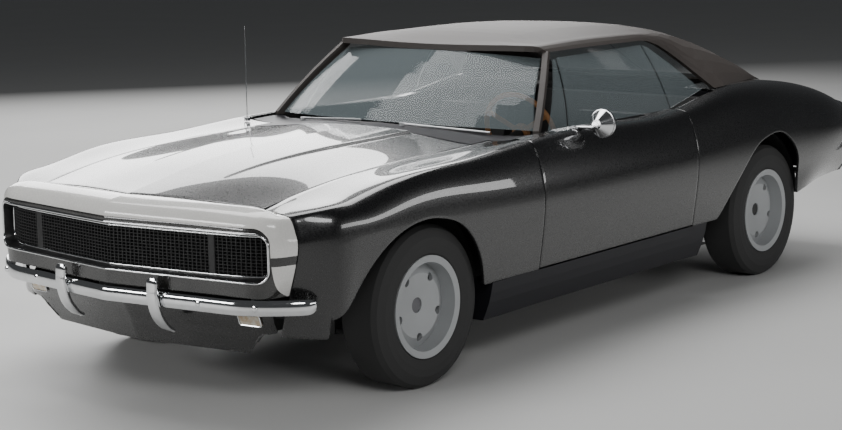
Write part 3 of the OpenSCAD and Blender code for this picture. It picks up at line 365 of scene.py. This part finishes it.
def mirrored(part):
    points, faces = part
    return points * [-1, 1, 1], [tuple(reversed(f)) for f in faces]


def dress(thing, finish, body_name, replaced=(), angle=40):
    """Gives a finished piece its smooth shading, material and body, and hides the parts it replaces."""
    bpy.ops.object.select_all(action="DESELECT")
    thing.select_set(True)
    bpy.context.view_layer.objects.active = thing
    bpy.ops.object.shade_smooth_by_angle(angle=math.radians(angle))
    thing.data.materials.clear()
    thing.data.materials.append(finish.material)
    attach(thing, body_name)
    if replaced:
        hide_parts(*replaced)
    return thing


def from_parts(name, parts, merge=0.00001):
    mesh = bpy.data.meshes.new(name)
    points, faces, count = [], [], 0
    for p, f in parts:
        points.append(np.asarray(p, float) * MM)
        faces += [tuple(k + count for k in face) for face in f]
        count += len(p)
    mesh.from_pydata(np.concatenate(points).tolist(), [], faces)
    thing = bpy.data.objects.new(name, mesh)
    scene.collection.objects.link(thing)
    work = bmesh.new()
    work.from_mesh(mesh)
    bmesh.ops.remove_doubles(work, verts=work.verts, dist=merge)
    bmesh.ops.recalc_face_normals(work, faces=work.faces)
    work.to_mesh(mesh)
    work.free()
    return thing


# Acrylic black paint with a thick clear coat: nearly no colour of its own,
# a faint orange-peel surface, and a trace of dust low down.
paint = Finish("black_paint", base_color=(0.0035, 0.0035, 0.004), roughness=0.3, coat_weight=1.0,
    coat_roughness=0.02, coat_ior=1.5, specular_ior_level=0.5)
height = paint.node("SeparateXYZ", {"Vector": paint.place()}, out="Z")
dust = paint.spread(paint.noise(9, 5), 0.0, 1.0) * paint.spread(height, 1.0, 0.12, at=(0.25, 0.7))
paint.feed(base_color=paint.blend(dust * 0.5, (0.0035, 0.0035, 0.004), (0.016, 0.0155, 0.015)),
    roughness=paint.spread(paint.noise(160, 2), 0.22, 0.36),
    normal=paint.bump(paint.noise(260, 1), 0.03, 0.0001))


def lower_edge(lip, axle, start, end, bottom, step=11):
    """The lower edge of a wing: along the bottom, up over the wheel and down again."""
    t = np.arange(len(lip))
    curve = through(t, lip)(np.linspace(0, len(lip) - 1, 400)) + [axle, 0]
    low = [(y, bottom(y)) for y in np.linspace(start, curve[0, 0] - 1, 60)] if start < curve[0, 0] else []
    points = np.array(low + [(y, max(z, bottom(y))) for y, z in curve if start <= y <= end]
        + [(y, bottom(y)) for y in np.linspace(curve[-1, 0] + 1, end, 60) if curve[-1, 0] < end])
    run = np.concatenate([[0], np.cumsum(np.linalg.norm(np.diff(points, axis=0), axis=1))])
    even = np.linspace(0, run[-1], int(run[-1] / step))
    return np.stack([np.interp(even, run, points[:, 0]), np.interp(even, run, points[:, 1])], -1)


def sill_edge(y):
    """The lowest line of the side, 1 mm above its sections' first points."""
    return float(body(np.array(y), 0.0)[2]) + 1


front_lip = [(-602, 385), (-525, 432), (-408, 568), (-269, 664), (-118, 699), (8, 690), (136, 645),
    (237, 549), (291, 455), (319, 365)]
rear_lip = [(-655, 321), (-561, 366), (-474, 448), (-366, 567), (-239, 680), (-98, 726), (25, 727),
    (142, 665), (228, 562), (252, 452), (256, 380)]


def wing(edge, top_v, rows, top_y=None):
    """A side panel between its lower edge and its top line."""
    y0, z0 = edge[:, 0], edge[:, 1]
    v0 = side_v(z0, y0)
    y1 = np.linspace(y0[0], y0[-1], len(y0)) if top_y is None else top_y
    t = np.linspace(0, 1, rows)[None]
    settle = t ** 0.8
    y = y0[:, None] * (1 - settle) + y1[:, None] * settle
    v = v0[:, None] * (1 - t) + top_v(y1)[:, None] * t
    return body(y, v)


# ---- Front wings ----
# Each is one pressing from the sill edge over the wheel opening to the
# bonnet's side, bolted on, with a rounded edge of about 1.5 mm.
def wing_floor(y):
    return 367 if y > front_y + 300 else sill_edge(y)


def joint_y(x):
    """The joint between the nose and the bonnet and wings, seen from above."""
    ahead = np.interp(np.abs(x), [0, bonnet_w - 16, bonnet_w + 95], [795, 681, 703])
    return front_y - ahead


edge = lower_edge(front_lip, front_y, wing_y + 1, door_y - gap, wing_floor)
top = wing(edge, lambda y: deck_v(bonnet_edge(y) + gap / 2, y), 64)
# The front edge follows the joint, which runs back a little towards the bonnet
shift = np.interp(top[..., 1], [wing_y, wing_y + 160], [1, 0]) * (joint_y(top[..., 0]) - joint_y(800))
top[..., 1] += shift
front_wing = shell(top, 13, out=(0, 0, 500))
front_wings = from_parts("front_wings", [front_wing, mirrored(front_wing)])
dress(front_wings, paint, "chassis", ["left_fender", "right_fender"])

# ---- Bonnet ----
# A double-skinned lid with a low peak down its middle and a raised centre
# whose creases fade in from half way along towards the windscreen.
def raised(x, y):
    w = 272 + 0.05 * (y - front_y)
    rise = np.clip((y - front_y + 520) / 620, 0, 1)
    s = np.clip((w - np.abs(x)) / 30 + 0.5, 0, 1)
    return 9 * rise * s * s * (3 - 2 * s)


c = np.linspace(-1, 1, 181)[None]
r = np.linspace(0, 1, 90)[:, None]
y0 = joint_y(c * bonnet_w) + gap + 1
y = y0 + (bonnet_end_y - 2 - y0) * r
x = np.abs(c) * (bonnet_edge(y) - gap / 2)
lid = np.stack([np.sign(c) * x, y, deck_z(x, y) + raised(x, y)], -1)
bonnet = from_parts("bonnet", [shell(lid, 14)])
dress(bonnet, paint, "hood", ["hood"])

# ---- Boot lid ----
# A double-skinned lid between the shoulders, hinged at its front edge and
# curving down to the tail.
y = np.linspace(lid_y + gap / 2, lid_end_y - 2, 50)
v0 = deck_v(lid_w - gap / 2, y)
c = np.linspace(-1, 1, 101)
v = 9 - np.abs(c)[None] * (9 - v0)[:, None]
lid = body(y[:, None], v)
lid[..., 0] *= np.where(c < 0, -1, 1)[None]
boot = from_parts("boot_lid", [shell(lid, 14)])
dress(boot, paint, "trunk_lid", ["trunk_lid"])

# ---- Rear quarters ----
# Each runs from the door's rear edge over the wheel to the tail, and in
# over the shoulder to the boot lid, with the roof's foot on top of it.
def quarter_floor(y):
    return 367 if y < rear_y - 500 else sill_edge(y)


window_end_y = rear_y - 424
edge = lower_edge(rear_lip, rear_y, door_end_y + gap, rear_y + 936, quarter_floor)
lower = wing(edge, lambda y: deck_v(half_w - 135, y), 56)
top_y = lower[:, -1, 1]
keep = top_y > window_end_y
deck_y = top_y[keep]
t = np.linspace(0, 1, 16)[None]
deck = body(deck_y[:, None], deck_v(half_w - 135, deck_y)[:, None] * (1 - t)
    + deck_v(lid_w + gap / 2, deck_y)[:, None] * t)
quarter = shell(lower, 13, out=(0, 0, 500))
shoulder = shell(deck, 13, out=(0, 0, 0), edge=0.4)
y = np.linspace(rear_y + 262, lid_y - gap, 5)
v0 = deck_v(lid_w + 4, y)
c = np.linspace(-1, 1, 81)
filler = body(y[:, None], 9 - np.abs(c)[None] * (9 - v0)[:, None])
filler[..., 0] *= np.where(c < 0, -1, 1)[None]
quarters = from_parts("rear_quarters",
    [quarter, mirrored(quarter), shoulder, mirrored(shoulder), shell(filler, 13)])
dress(quarters, paint, "chassis", ["left_quarter_panel", "right_quarter_panel", "rear_deck"])

# ---- Doors ----
# A pressed outer skin hemmed round a boxed frame; the inner face carries a
# flat trim board. The top face takes the window.
inner_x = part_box("left_door")[0].x / MM


def door_part():
    y = np.linspace(door_y + 2, door_end_y - 2, 90)
    v0 = side_v(372 + 2, y)
    t = np.linspace(0, 1, 60)[None]
    outer = body(y[:, None], v0[:, None] * (1 - t) + 6 * t)
    inner = outer.copy()
    inner[..., 0] = (inner_x + 18 * (1 - np.clip((y - door_y - 250) / 60, 0, 1)))[:, None]
    inner[..., 1] = np.clip(outer[..., 1], door_y + 8, door_end_y - 15)
    return shell(outer, 0, out=(0, 0, 500), inner=inner)


door = door_part()
for side, part in (("left", door), ("right", mirrored(door))):
    dress(from_parts(side + "_door_panel", [part]), paint, side + "_door", [side + "_door"])

# ---- Nose ----
# One pressing that closes the front between the wings: white lacquer with a
# dark surround painted round the grille opening, and a black break in the
# middle of the band's side legs.
nose_y = wing_y - 3


def eased(places, values):
    """A curve through given values that never swings past them by much."""
    x, v = np.array(places, float), np.array(values, float)
    ends = np.concatenate([[0], np.arange(len(x)), [len(x) - 1]])
    m = (v[ends[2:]] - v[ends[:-2]]) / (x[ends[2:]] - x[ends[:-2]])

    def at(p):
        p = np.clip(np.asarray(p, float), x[0], x[-1])
        i = np.clip(np.searchsorted(x, p, side="right") - 1, 0, len(x) - 2)
        h = x[i + 1] - x[i]
        u = (p - x[i]) / h
        return (v[i] * (1 + u * u * (2 * u - 3)) + m[i] * h * u * (1 - u) ** 2
                + v[i + 1] * u * u * (3 - 2 * u) - m[i + 1] * h * u * u * (1 - u))
    return at


level_share = eased(range(9), [1, 1, 1, 1, 0.99, 0.94, 0.76, 0.4, 0])
level_z = eased(range(9), [488, 520, 620, 728, 746, 770, 797, 813, 819])
level_v = eased(range(9), [2.1, 2.38, 2.85, 3.6, 4.2, 4.8, 5.4, 6, 6.6])
face_ahead = eased([0, 0.22, 0.45, 0.67, 0.81, 0.88, 0.935, 0.975, 1],
    [218, 197, 173, 149, 133, 117, 97, 60, 0])
nose_half_w = float(body(np.array(nose_y), 2.85)[0])


def face_y(x):
    return nose_y - face_ahead(np.abs(x) / nose_half_w)


u = np.linspace(-1, 1, 201)
u = np.sign(u) * (1 - (1 - np.abs(u)) ** 1.15)[None]
w = np.linspace(0, 8, 57)[:, None]
foot = body(nose_y, level_v(w))
outboard = np.maximum(0, (np.abs(u) - 0.88) / 0.12)
x = nose_half_w * np.abs(u) + (foot[..., 0] - nose_half_w) * outboard
joint = joint_y(x)
rise = eased([0, 0.8, 1], [0, 0.1, 1])(np.abs(u))
z = level_z(w) + (foot[..., 2] - level_z(w)) * rise
top = np.clip(w - 7, 0, 1)
z = z * (1 - top) + deck_z(x, joint + 0 * x) * top
nose_grid = np.stack([np.sign(u) * x, joint + (face_y(nose_half_w * u) - joint) * level_share(w), z], -1)
nose = from_parts("nose_band", [shell(nose_grid, 8, out=(0, nose_y + 300, 600))])


def rounded_outline(half_width, low, high, radius, count=8):
    """A rounded oblong as points in x and z."""
    points = []
    for cx, cz, start in ((1, 1, 0), (-1, 1, 90), (-1, -1, 180), (1, -1, 270)):
        for a in np.radians(np.linspace(start, start + 90, count)):
            points.append(((half_width - radius) * cx + radius * math.cos(a),
                (high - radius if cz > 0 else low + radius) + radius * math.sin(a)))
    return np.array(points)


def even_ring(outline, spacing):
    """The same closed outline with its points evenly spaced."""
    ring = np.vstack([outline, outline[:1]])
    run = np.concatenate([[0], np.cumsum(np.linalg.norm(np.diff(ring, axis=0), axis=1))])
    at = np.linspace(0, run[-1], max(8, int(run[-1] / spacing)), endpoint=False)
    return np.stack([np.interp(at, run, ring[:, k]) for k in range(ring.shape[1])], -1)


def loft(rings, closed=True):
    """Skins a row of rings; closed joins the last ring to the first, otherwise both ends are capped."""
    rings = np.array(rings, float)
    rows, cols = rings.shape[:2]
    faces = []
    for i in range(rows if closed else rows - 1):
        for j in range(cols):
            a, b = i * cols + j, i * cols + (j + 1) % cols
            c, d = ((i + 1) % rows) * cols + (j + 1) % cols, ((i + 1) % rows) * cols + j
            faces.append((a, b, c, d))
    if not closed:
        faces += [tuple(range(cols))[::-1], tuple((rows - 1) * cols + j for j in range(cols))]
    return rings.reshape(-1, 3), faces


def cut_away(thing, outline, y0, y1):
    """Cuts a straight hole of the given outline through a panel, along y."""
    rings = [[(x, y, z) for x, z in outline] for y in (y0, y1)]
    cutter = from_parts("cutter", [loft(rings, closed=False)])
    hole = thing.modifiers.new("hole", "BOOLEAN")
    hole.object = cutter
    hole.operation = "DIFFERENCE"
    bpy.context.view_layer.objects.active = thing
    bpy.ops.object.modifier_apply(modifier=hole.name)
    bpy.data.objects.remove(cutter)


opening = rounded_outline(738, 541, 728, 45)
cut_away(nose, even_ring(opening, 6), front_y - 1300, nose_y + 60)
band = Finish("nose_lacquer", base_color=(0.8, 0.8, 0.77), roughness=0.25, coat_weight=1.0, coat_roughness=0.03)
x, z = (abs(band.node("SeparateXYZ", {"Vector": band.place()}, out=axis)) for axis in ("X", "Z"))


def within(finish, x, z, half_width, top, radius):
    """A mask that is one inside a round-cornered shape that is open at its foot."""
    dx = (x - (half_width - radius)).math("MAXIMUM", x - (half_width - radius), 0.0)
    dz = (z - (top - radius)).math("MAXIMUM", z - (top - radius), 0.0)
    return (dx * dx + dz * dz) < radius * radius


surround = within(band, x, z, 0.742, 0.748, 0.062)
break_bar = (z > 0.606) * (z < 0.640) * (x > 0.70)
dark = (surround + break_bar) > 0.5
dark = (dark + (z < 0.470) * 1.0) > 0.5
shade = band.blend(dark, (0.80, 0.79, 0.76), (0.004, 0.004, 0.0045))
band.feed(base_color=band.blend(band.spread(band.noise(7, 4), 0.0, 0.08), shade, (0.35, 0.34, 0.31)),
    roughness=band.spread(band.noise(160, 2), 0.2, 0.32),
    normal=band.bump(band.noise(260, 1), 0.03, 0.0001))
dress(nose, band, "chassis", ["nose_panel"], angle=50)

# ---- Grille ----
# A fine black egg-crate behind two thin bright frames, the inner one set
# back at its ends. The headlamps hide behind its outer thirds, which slide
# on two dark posts.
chrome = Finish("chrome", base_color=(0.86, 0.87, 0.88), metallic=1.0, roughness=0.06)
smear = chrome.spread(chrome.noise(35, 5), 0.0, 0.22)
chrome.feed(base_color=chrome.blend(smear, (0.88, 0.89, 0.90), (0.55, 0.55, 0.54)),
    roughness=chrome.spread(chrome.noise(120, 4), 0.035, 0.12))
grille_black = Finish("grille_black", base_color=(0.008, 0.008, 0.009), roughness=0.4)
grime = grille_black.spread(grille_black.noise(40, 4), 0, 1)
grille_black.feed(roughness=grille_black.spread(grille_black.noise(300, 2), 0.3, 0.55),
    base_color=grille_black.blend(grime, (0.006, 0.006, 0.007), (0.02, 0.02, 0.02)))


def recess(x):
    return 22 + 26 * (np.abs(x) / 716) ** 6


def sweep(path, outline, up=(0, 0, 1), closed=False, scale=None):
    """Carries an outline, given to the side and up, along a path."""
    path, outline, up = np.array(path, float), np.array(outline, float), np.array(up, float)
    if closed:
        t = np.roll(path, -1, 0) - np.roll(path, 1, 0)
    else:
        t = np.gradient(path, axis=0)
    t /= np.linalg.norm(t, axis=1, keepdims=True)
    side = np.cross(t, np.broadcast_to(up, t.shape))
    side /= np.linalg.norm(side, axis=1, keepdims=True)
    rise = np.cross(side, t)
    k = np.ones((len(path), 2)) if scale is None else np.array(scale, float).reshape(len(path), -1) * [1, 1]
    rings = [path[i] + side[i] * (outline[:, :1] * k[i, 0]) + rise[i] * (outline[:, 1:] * k[i, 1])
        for i in range(len(path))]
    return loft(rings, closed=closed)


def oval(across, high, count=12):
    turn = np.linspace(0, 2 * math.pi, count, endpoint=False)
    return [(across * math.cos(a), high * math.sin(a)) for a in turn]


def oblong(across, high, radius, count=4):
    return [(p, q) for p, q in rounded_outline(across, -high, high, radius, count)]


def on_face(ring, back):
    return np.array([(x, face_y(x) + back(x), z) for x, z in ring])


outer_ring = even_ring(rounded_outline(736, 543, 727, 44), 12)
inner_ring = even_ring(rounded_outline(715, 560, 712, 34), 12)
frames = from_parts("grille_frames", [
    sweep(on_face(outer_ring, lambda x: -3), oval(4.5, 4.5), up=(0.03, 1, 0.02), closed=True),
    sweep(on_face(inner_ring, recess), oval(4, 4), up=(0.03, 1, 0.02), closed=True)])
dress(frames, chrome, "chassis")
grille_z = 636
wall_ring = even_ring(rounded_outline(736, 543, 727, 44, 12), 12)
match = []
for x, z in wall_ring:
    far = np.linalg.norm(inner_ring - [x * 0.965, grille_z + (z - grille_z) * 0.83], axis=1)
    match.append(inner_ring[np.argmin(far)])
wall = loft([on_face(wall_ring, lambda x: 0), on_face(match, recess),
    on_face(match, lambda x: recess(x) + 8), on_face(wall_ring, lambda x: 10)])
recess_wall = from_parts("grille_surround", [wall], merge=0.0)
dress(recess_wall, grille_black, "chassis")


def block(low, high):
    """A plain six-sided bar, for what repeats many times."""
    (a, b, c), (d, e, f) = low, high
    points = [(x, y, z) for z in (c, f) for x, y in ((a, b), (d, b), (d, e), (a, e))]
    sides = [(k, (k + 1) % 4, (k + 1) % 4 + 4, k + 4) for k in range(4)]
    return np.array(points, float), [(3, 2, 1, 0), (4, 5, 6, 7)] + sides


def crate_limits(x):
    drop = max(0, abs(x) - 681)
    corner = 34 - math.sqrt(max(0, 34 ** 2 - drop ** 2))
    return 561 + corner, 711 - corner


crate = []
for x in np.arange(-702, 703, 19.5):
    low, high = crate_limits(x)
    y = float(face_y(x) + recess(x))
    crate.append(block((x - 1.6, y + 3, low), (x + 1.6, y + 17, high)))
for z in np.arange(573, 705, 12.6):
    xs = np.linspace(-706, 706, 61)
    row = [(x, float(face_y(x) + recess(x)) + 9, z) for x in xs]
    crate.append(sweep(row, [(-5, -1.3), (5, -1.3), (5, 1.3), (-5, 1.3)]))
egg_crate = from_parts("egg_crate", crate, merge=0.0)
dress(egg_crate, grille_black, "chassis", ["grille", "headlamp_covers"])
plate = []
for x in (-478, 478):
    y = float(face_y(x) + recess(x))
    plate.append(sweep([(x, y + 7, z) for z in (562, 600, 640, 680, 710)], oblong(6, 17, 3), up=(1, 0, 0)))
xs = np.linspace(-712, 712, 61)
row = [(x, float(face_y(x) + recess(x)) + 24, grille_z) for x in xs]
plate.append(sweep(row, [(-4, -76), (4, -76), (4, 76), (-4, 76)]))
backing = from_parts("grille_backing", plate)
dress(backing, grille_black, "chassis")

# ---- Bumpers ----
# Chromed pressed steel: the front one is a shallow V that wraps round the
# wings, with two overriders that curve back under it, and the rear one a
# straight bar with rounded corners.
ahead_of = [(700, 814), (768, 766), (813, 727), (834, 695), (841, 664)]
right = [(x, front_y - a) for x, a in ahead_of]
flat = [(x, float(face_y(x)) - 14) for x in (-600, -400, -200, -60, 0, 60, 200, 400, 600)]
route = [(-x, y) for x, y in reversed(right)] + flat + right
t = np.linspace(0, len(route) - 1, 181)
line = np.stack([eased(range(len(route)), [p[k] for p in route])(t) for k in (0, 1)] + [0 * t + 450], -1)
# The bar tapers over the last tenth of each arm
bar_shape = [(-7, -28), (-2, -30), (3, -28), (7, -20), (8, -14), (10.5, -10), (11, 2), (10, 14), (7, 24),
    (1, 30), (-5, 29), (-8, 22)]
fullness = np.clip(np.minimum(np.arange(181), 180 - np.arange(181)) / 10, 0, 1) ** 0.5
scale = np.stack([0.5 + 0.5 * fullness, 0.62 + 0.38 * fullness], -1)
front_bumper = [sweep(line, bar_shape, scale=scale)]
for side in (-1, 1):
    guard = ((924, 534), (926, 490), (926, 450), (906, 385), (868, 338), (832, 316))
    route = [(side * 254, front_y - a, z) for a, z in guard]
    t = np.linspace(0, 5, 31)
    line = np.stack([eased(range(6), [p[k] for p in route])(t) for k in range(3)], -1)
    taper = np.interp(t, [0, 0.3, 3.5, 5], [0.7, 1, 1, 0.7])
    front_bumper.append(sweep(line, oblong(10, 27, 7), up=(1, 0, 0), scale=taper))
    for x in (450, 690):
        y = float(face_y(x)) - 24 if x < 600 else front_y - 836
        dome = [(x * side, y - d, 452) for d in (-2, 2, 4, 5)]
        front_bumper.append(sweep(dome, oval(13, 13), scale=[1, 0.92, 0.6, 0.1]))
front_bumper = from_parts("front_bumper_chrome", front_bumper)
dress(front_bumper, chrome, "chassis", ["front_bumper"])

tail_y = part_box("rear_bumper")[1].y / MM
end_x = float(side_x(np.array(578.0), np.array(rear_y + 936.0)))
side_at = [(float(side_x(np.array(578.0), np.array(rear_y + d))) + 18, rear_y + d) for d in (820, 890)]
right = side_at + [(end_x + 18, rear_y + 946), (end_x + 12, rear_y + 978), (end_x - 24, tail_y - 22),
    (740, tail_y - 20)]
middle = [(500, tail_y - 18), (0, tail_y - 15), (-500, tail_y - 18)]
route = right + middle + [(-x, y) for x, y in reversed(right)]
t = np.linspace(0, len(route) - 1, 181)
line = np.stack([eased(range(len(route)), [p[k] for p in route])(t) for k in (0, 1)] + [0 * t + 545], -1)
rear_shape = [(a * 1.2, b * 1.45) for a, b in bar_shape]
rear_bumper = [sweep(line, rear_shape, scale=scale)]
for x in (-330, 330):
    line = [(x, tail_y - 13, z) for z in (490, 500, 545, 588, 600)]
    rear_bumper.append(sweep(line, oblong(12, 22, 8), up=(1, 0, 0), scale=[0.6, 1, 1, 1, 0.6]))
rear_bumper = from_parts("rear_bumper_chrome", rear_bumper)
dress(rear_bumper, chrome, "chassis", ["rear_bumper"])

# ---- Front valance ----
# Two steel sheets under the bumper, the lower one the chin that keeps air
# from going under the car, with a parking lamp let into each side.
x = np.linspace(-690, 690, 121)[:, None]
set_back = [0, 4, 18, 38, 44, 54, 70, 73]
heights = [434, 415, 375, 340, 326, 290, 255, 238]
pull = np.array([1, 1, 0.995, 0.99, 0.985, 0.97, 0.955, 0.95])[None]
floor_line = np.interp(np.abs(x), [0, 560, 640, 690], [238, 238, 322, 334])
z = np.maximum(np.array(heights, float)[None], floor_line)
back = np.interp(z, heights[::-1], set_back[::-1])
valance_grid = np.stack([x * pull, face_y(x) + 75 + back, z], -1)
valance = from_parts("valance_and_chin", [shell(valance_grid, 4, out=(0, nose_y + 400, 350))])
dress(valance, paint, "chassis", ["front_valance"])


def wave(place, rate):
    """Fine ribs across a lens."""
    return place.math("SINE", place * rate)


amber = Finish("lamp_lens", base_color=(0.85, 0.8, 0.7), roughness=0.12, coat_weight=0.6)
ribs = amber.node("SeparateXYZ", {"Vector": amber.place()}, out="X")
tint = amber.spread(amber.noise(40, 3), 0, 1)
amber.feed(base_color=amber.blend(tint, (0.82, 0.78, 0.68), (0.62, 0.42, 0.22)),
    normal=amber.bump(wave(ribs, 900), 0.5, 0.0008))
red = Finish("tail_lens", base_color=(0.35, 0.008, 0.006), roughness=0.12, coat_weight=0.8)
grid_x, grid_z = (red.node("SeparateXYZ", {"Vector": red.place()}, out=axis) for axis in ("X", "Z"))
glow = red.spread(red.noise(25, 3), 0, 1)
red.feed(base_color=red.blend(glow, (0.40, 0.010, 0.008), (0.22, 0.004, 0.004)),
    normal=red.bump(wave(grid_x, 700) + wave(grid_z, 700), 0.4, 0.0008))
lamp_y = float(face_y(600)) + 85


def lamp_ring(side, depth, size):
    """The lens outline, leaning back with the valance and round with the nose."""
    return [(590 * side + x * size, lamp_y + depth + 0.12 * side * x + 0.35 * (22 - z) - 6, 383 + z * size)
        for x, z in even_ring(rounded_outline(47, -22, 22, 6), 6)]


parts, rims = [], []
for side in (-1, 1):
    rings = [lamp_ring(side, depth, size) for depth, size in ((30, 1), (-2, 1), (-5, 0.9))]
    parts.append(loft(rings, closed=False))
    rims.append(sweep(lamp_ring(side, -3, 1.06), oval(3, 3, 8), up=(0, 1, 0.01), closed=True))
dress(from_parts("parking_lenses", parts), amber, "chassis", ["lamps"])
dress(from_parts("parking_lamp_frames", rims), chrome, "chassis")

# ---- Tail ----
# A flat panel between the quarters with a wide red lens in a bright frame
# on each side and a blank filler cap between them.
tail_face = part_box("tail_panel")[1].y / MM
lens_x = 510
lens_z = 668


def tail_ring(side, depth, size=1):
    """The outline of one tail lens, this far behind the panel."""
    return [(lens_x * side + x * size, tail_face + depth, lens_z + z * size)
        for x, z in even_ring(rounded_outline(174, -44, 44, 14), 10)]


lenses, rims = [], []
for side in (-1, 1):
    rings = [tail_ring(side, -16), tail_ring(side, 3), tail_ring(side, 6, 0.97)]
    lenses.append(loft(rings, closed=False))
    rims.append(sweep(tail_ring(side, 2, 1.02), oval(4, 4, 8), up=(0, 1, 0.01), closed=True))
    bar = [(lens_x * side, tail_face + 6, lens_z + z) for z in (-42, 0, 42)]
    rims.append(sweep(bar, oblong(3, 5, 2), up=(1, 0, 0)))
cap = [(0, tail_face + d, lens_z) for d in (-2, 6, 9, 10)]
rims.append(sweep(cap, oval(46, 46, 40), scale=[1, 1, 0.93, 0.3]))
dress(from_parts("tail_lenses", lenses), red, "chassis")
dress(from_parts("tail_lamp_frames", rims), chrome, "chassis")
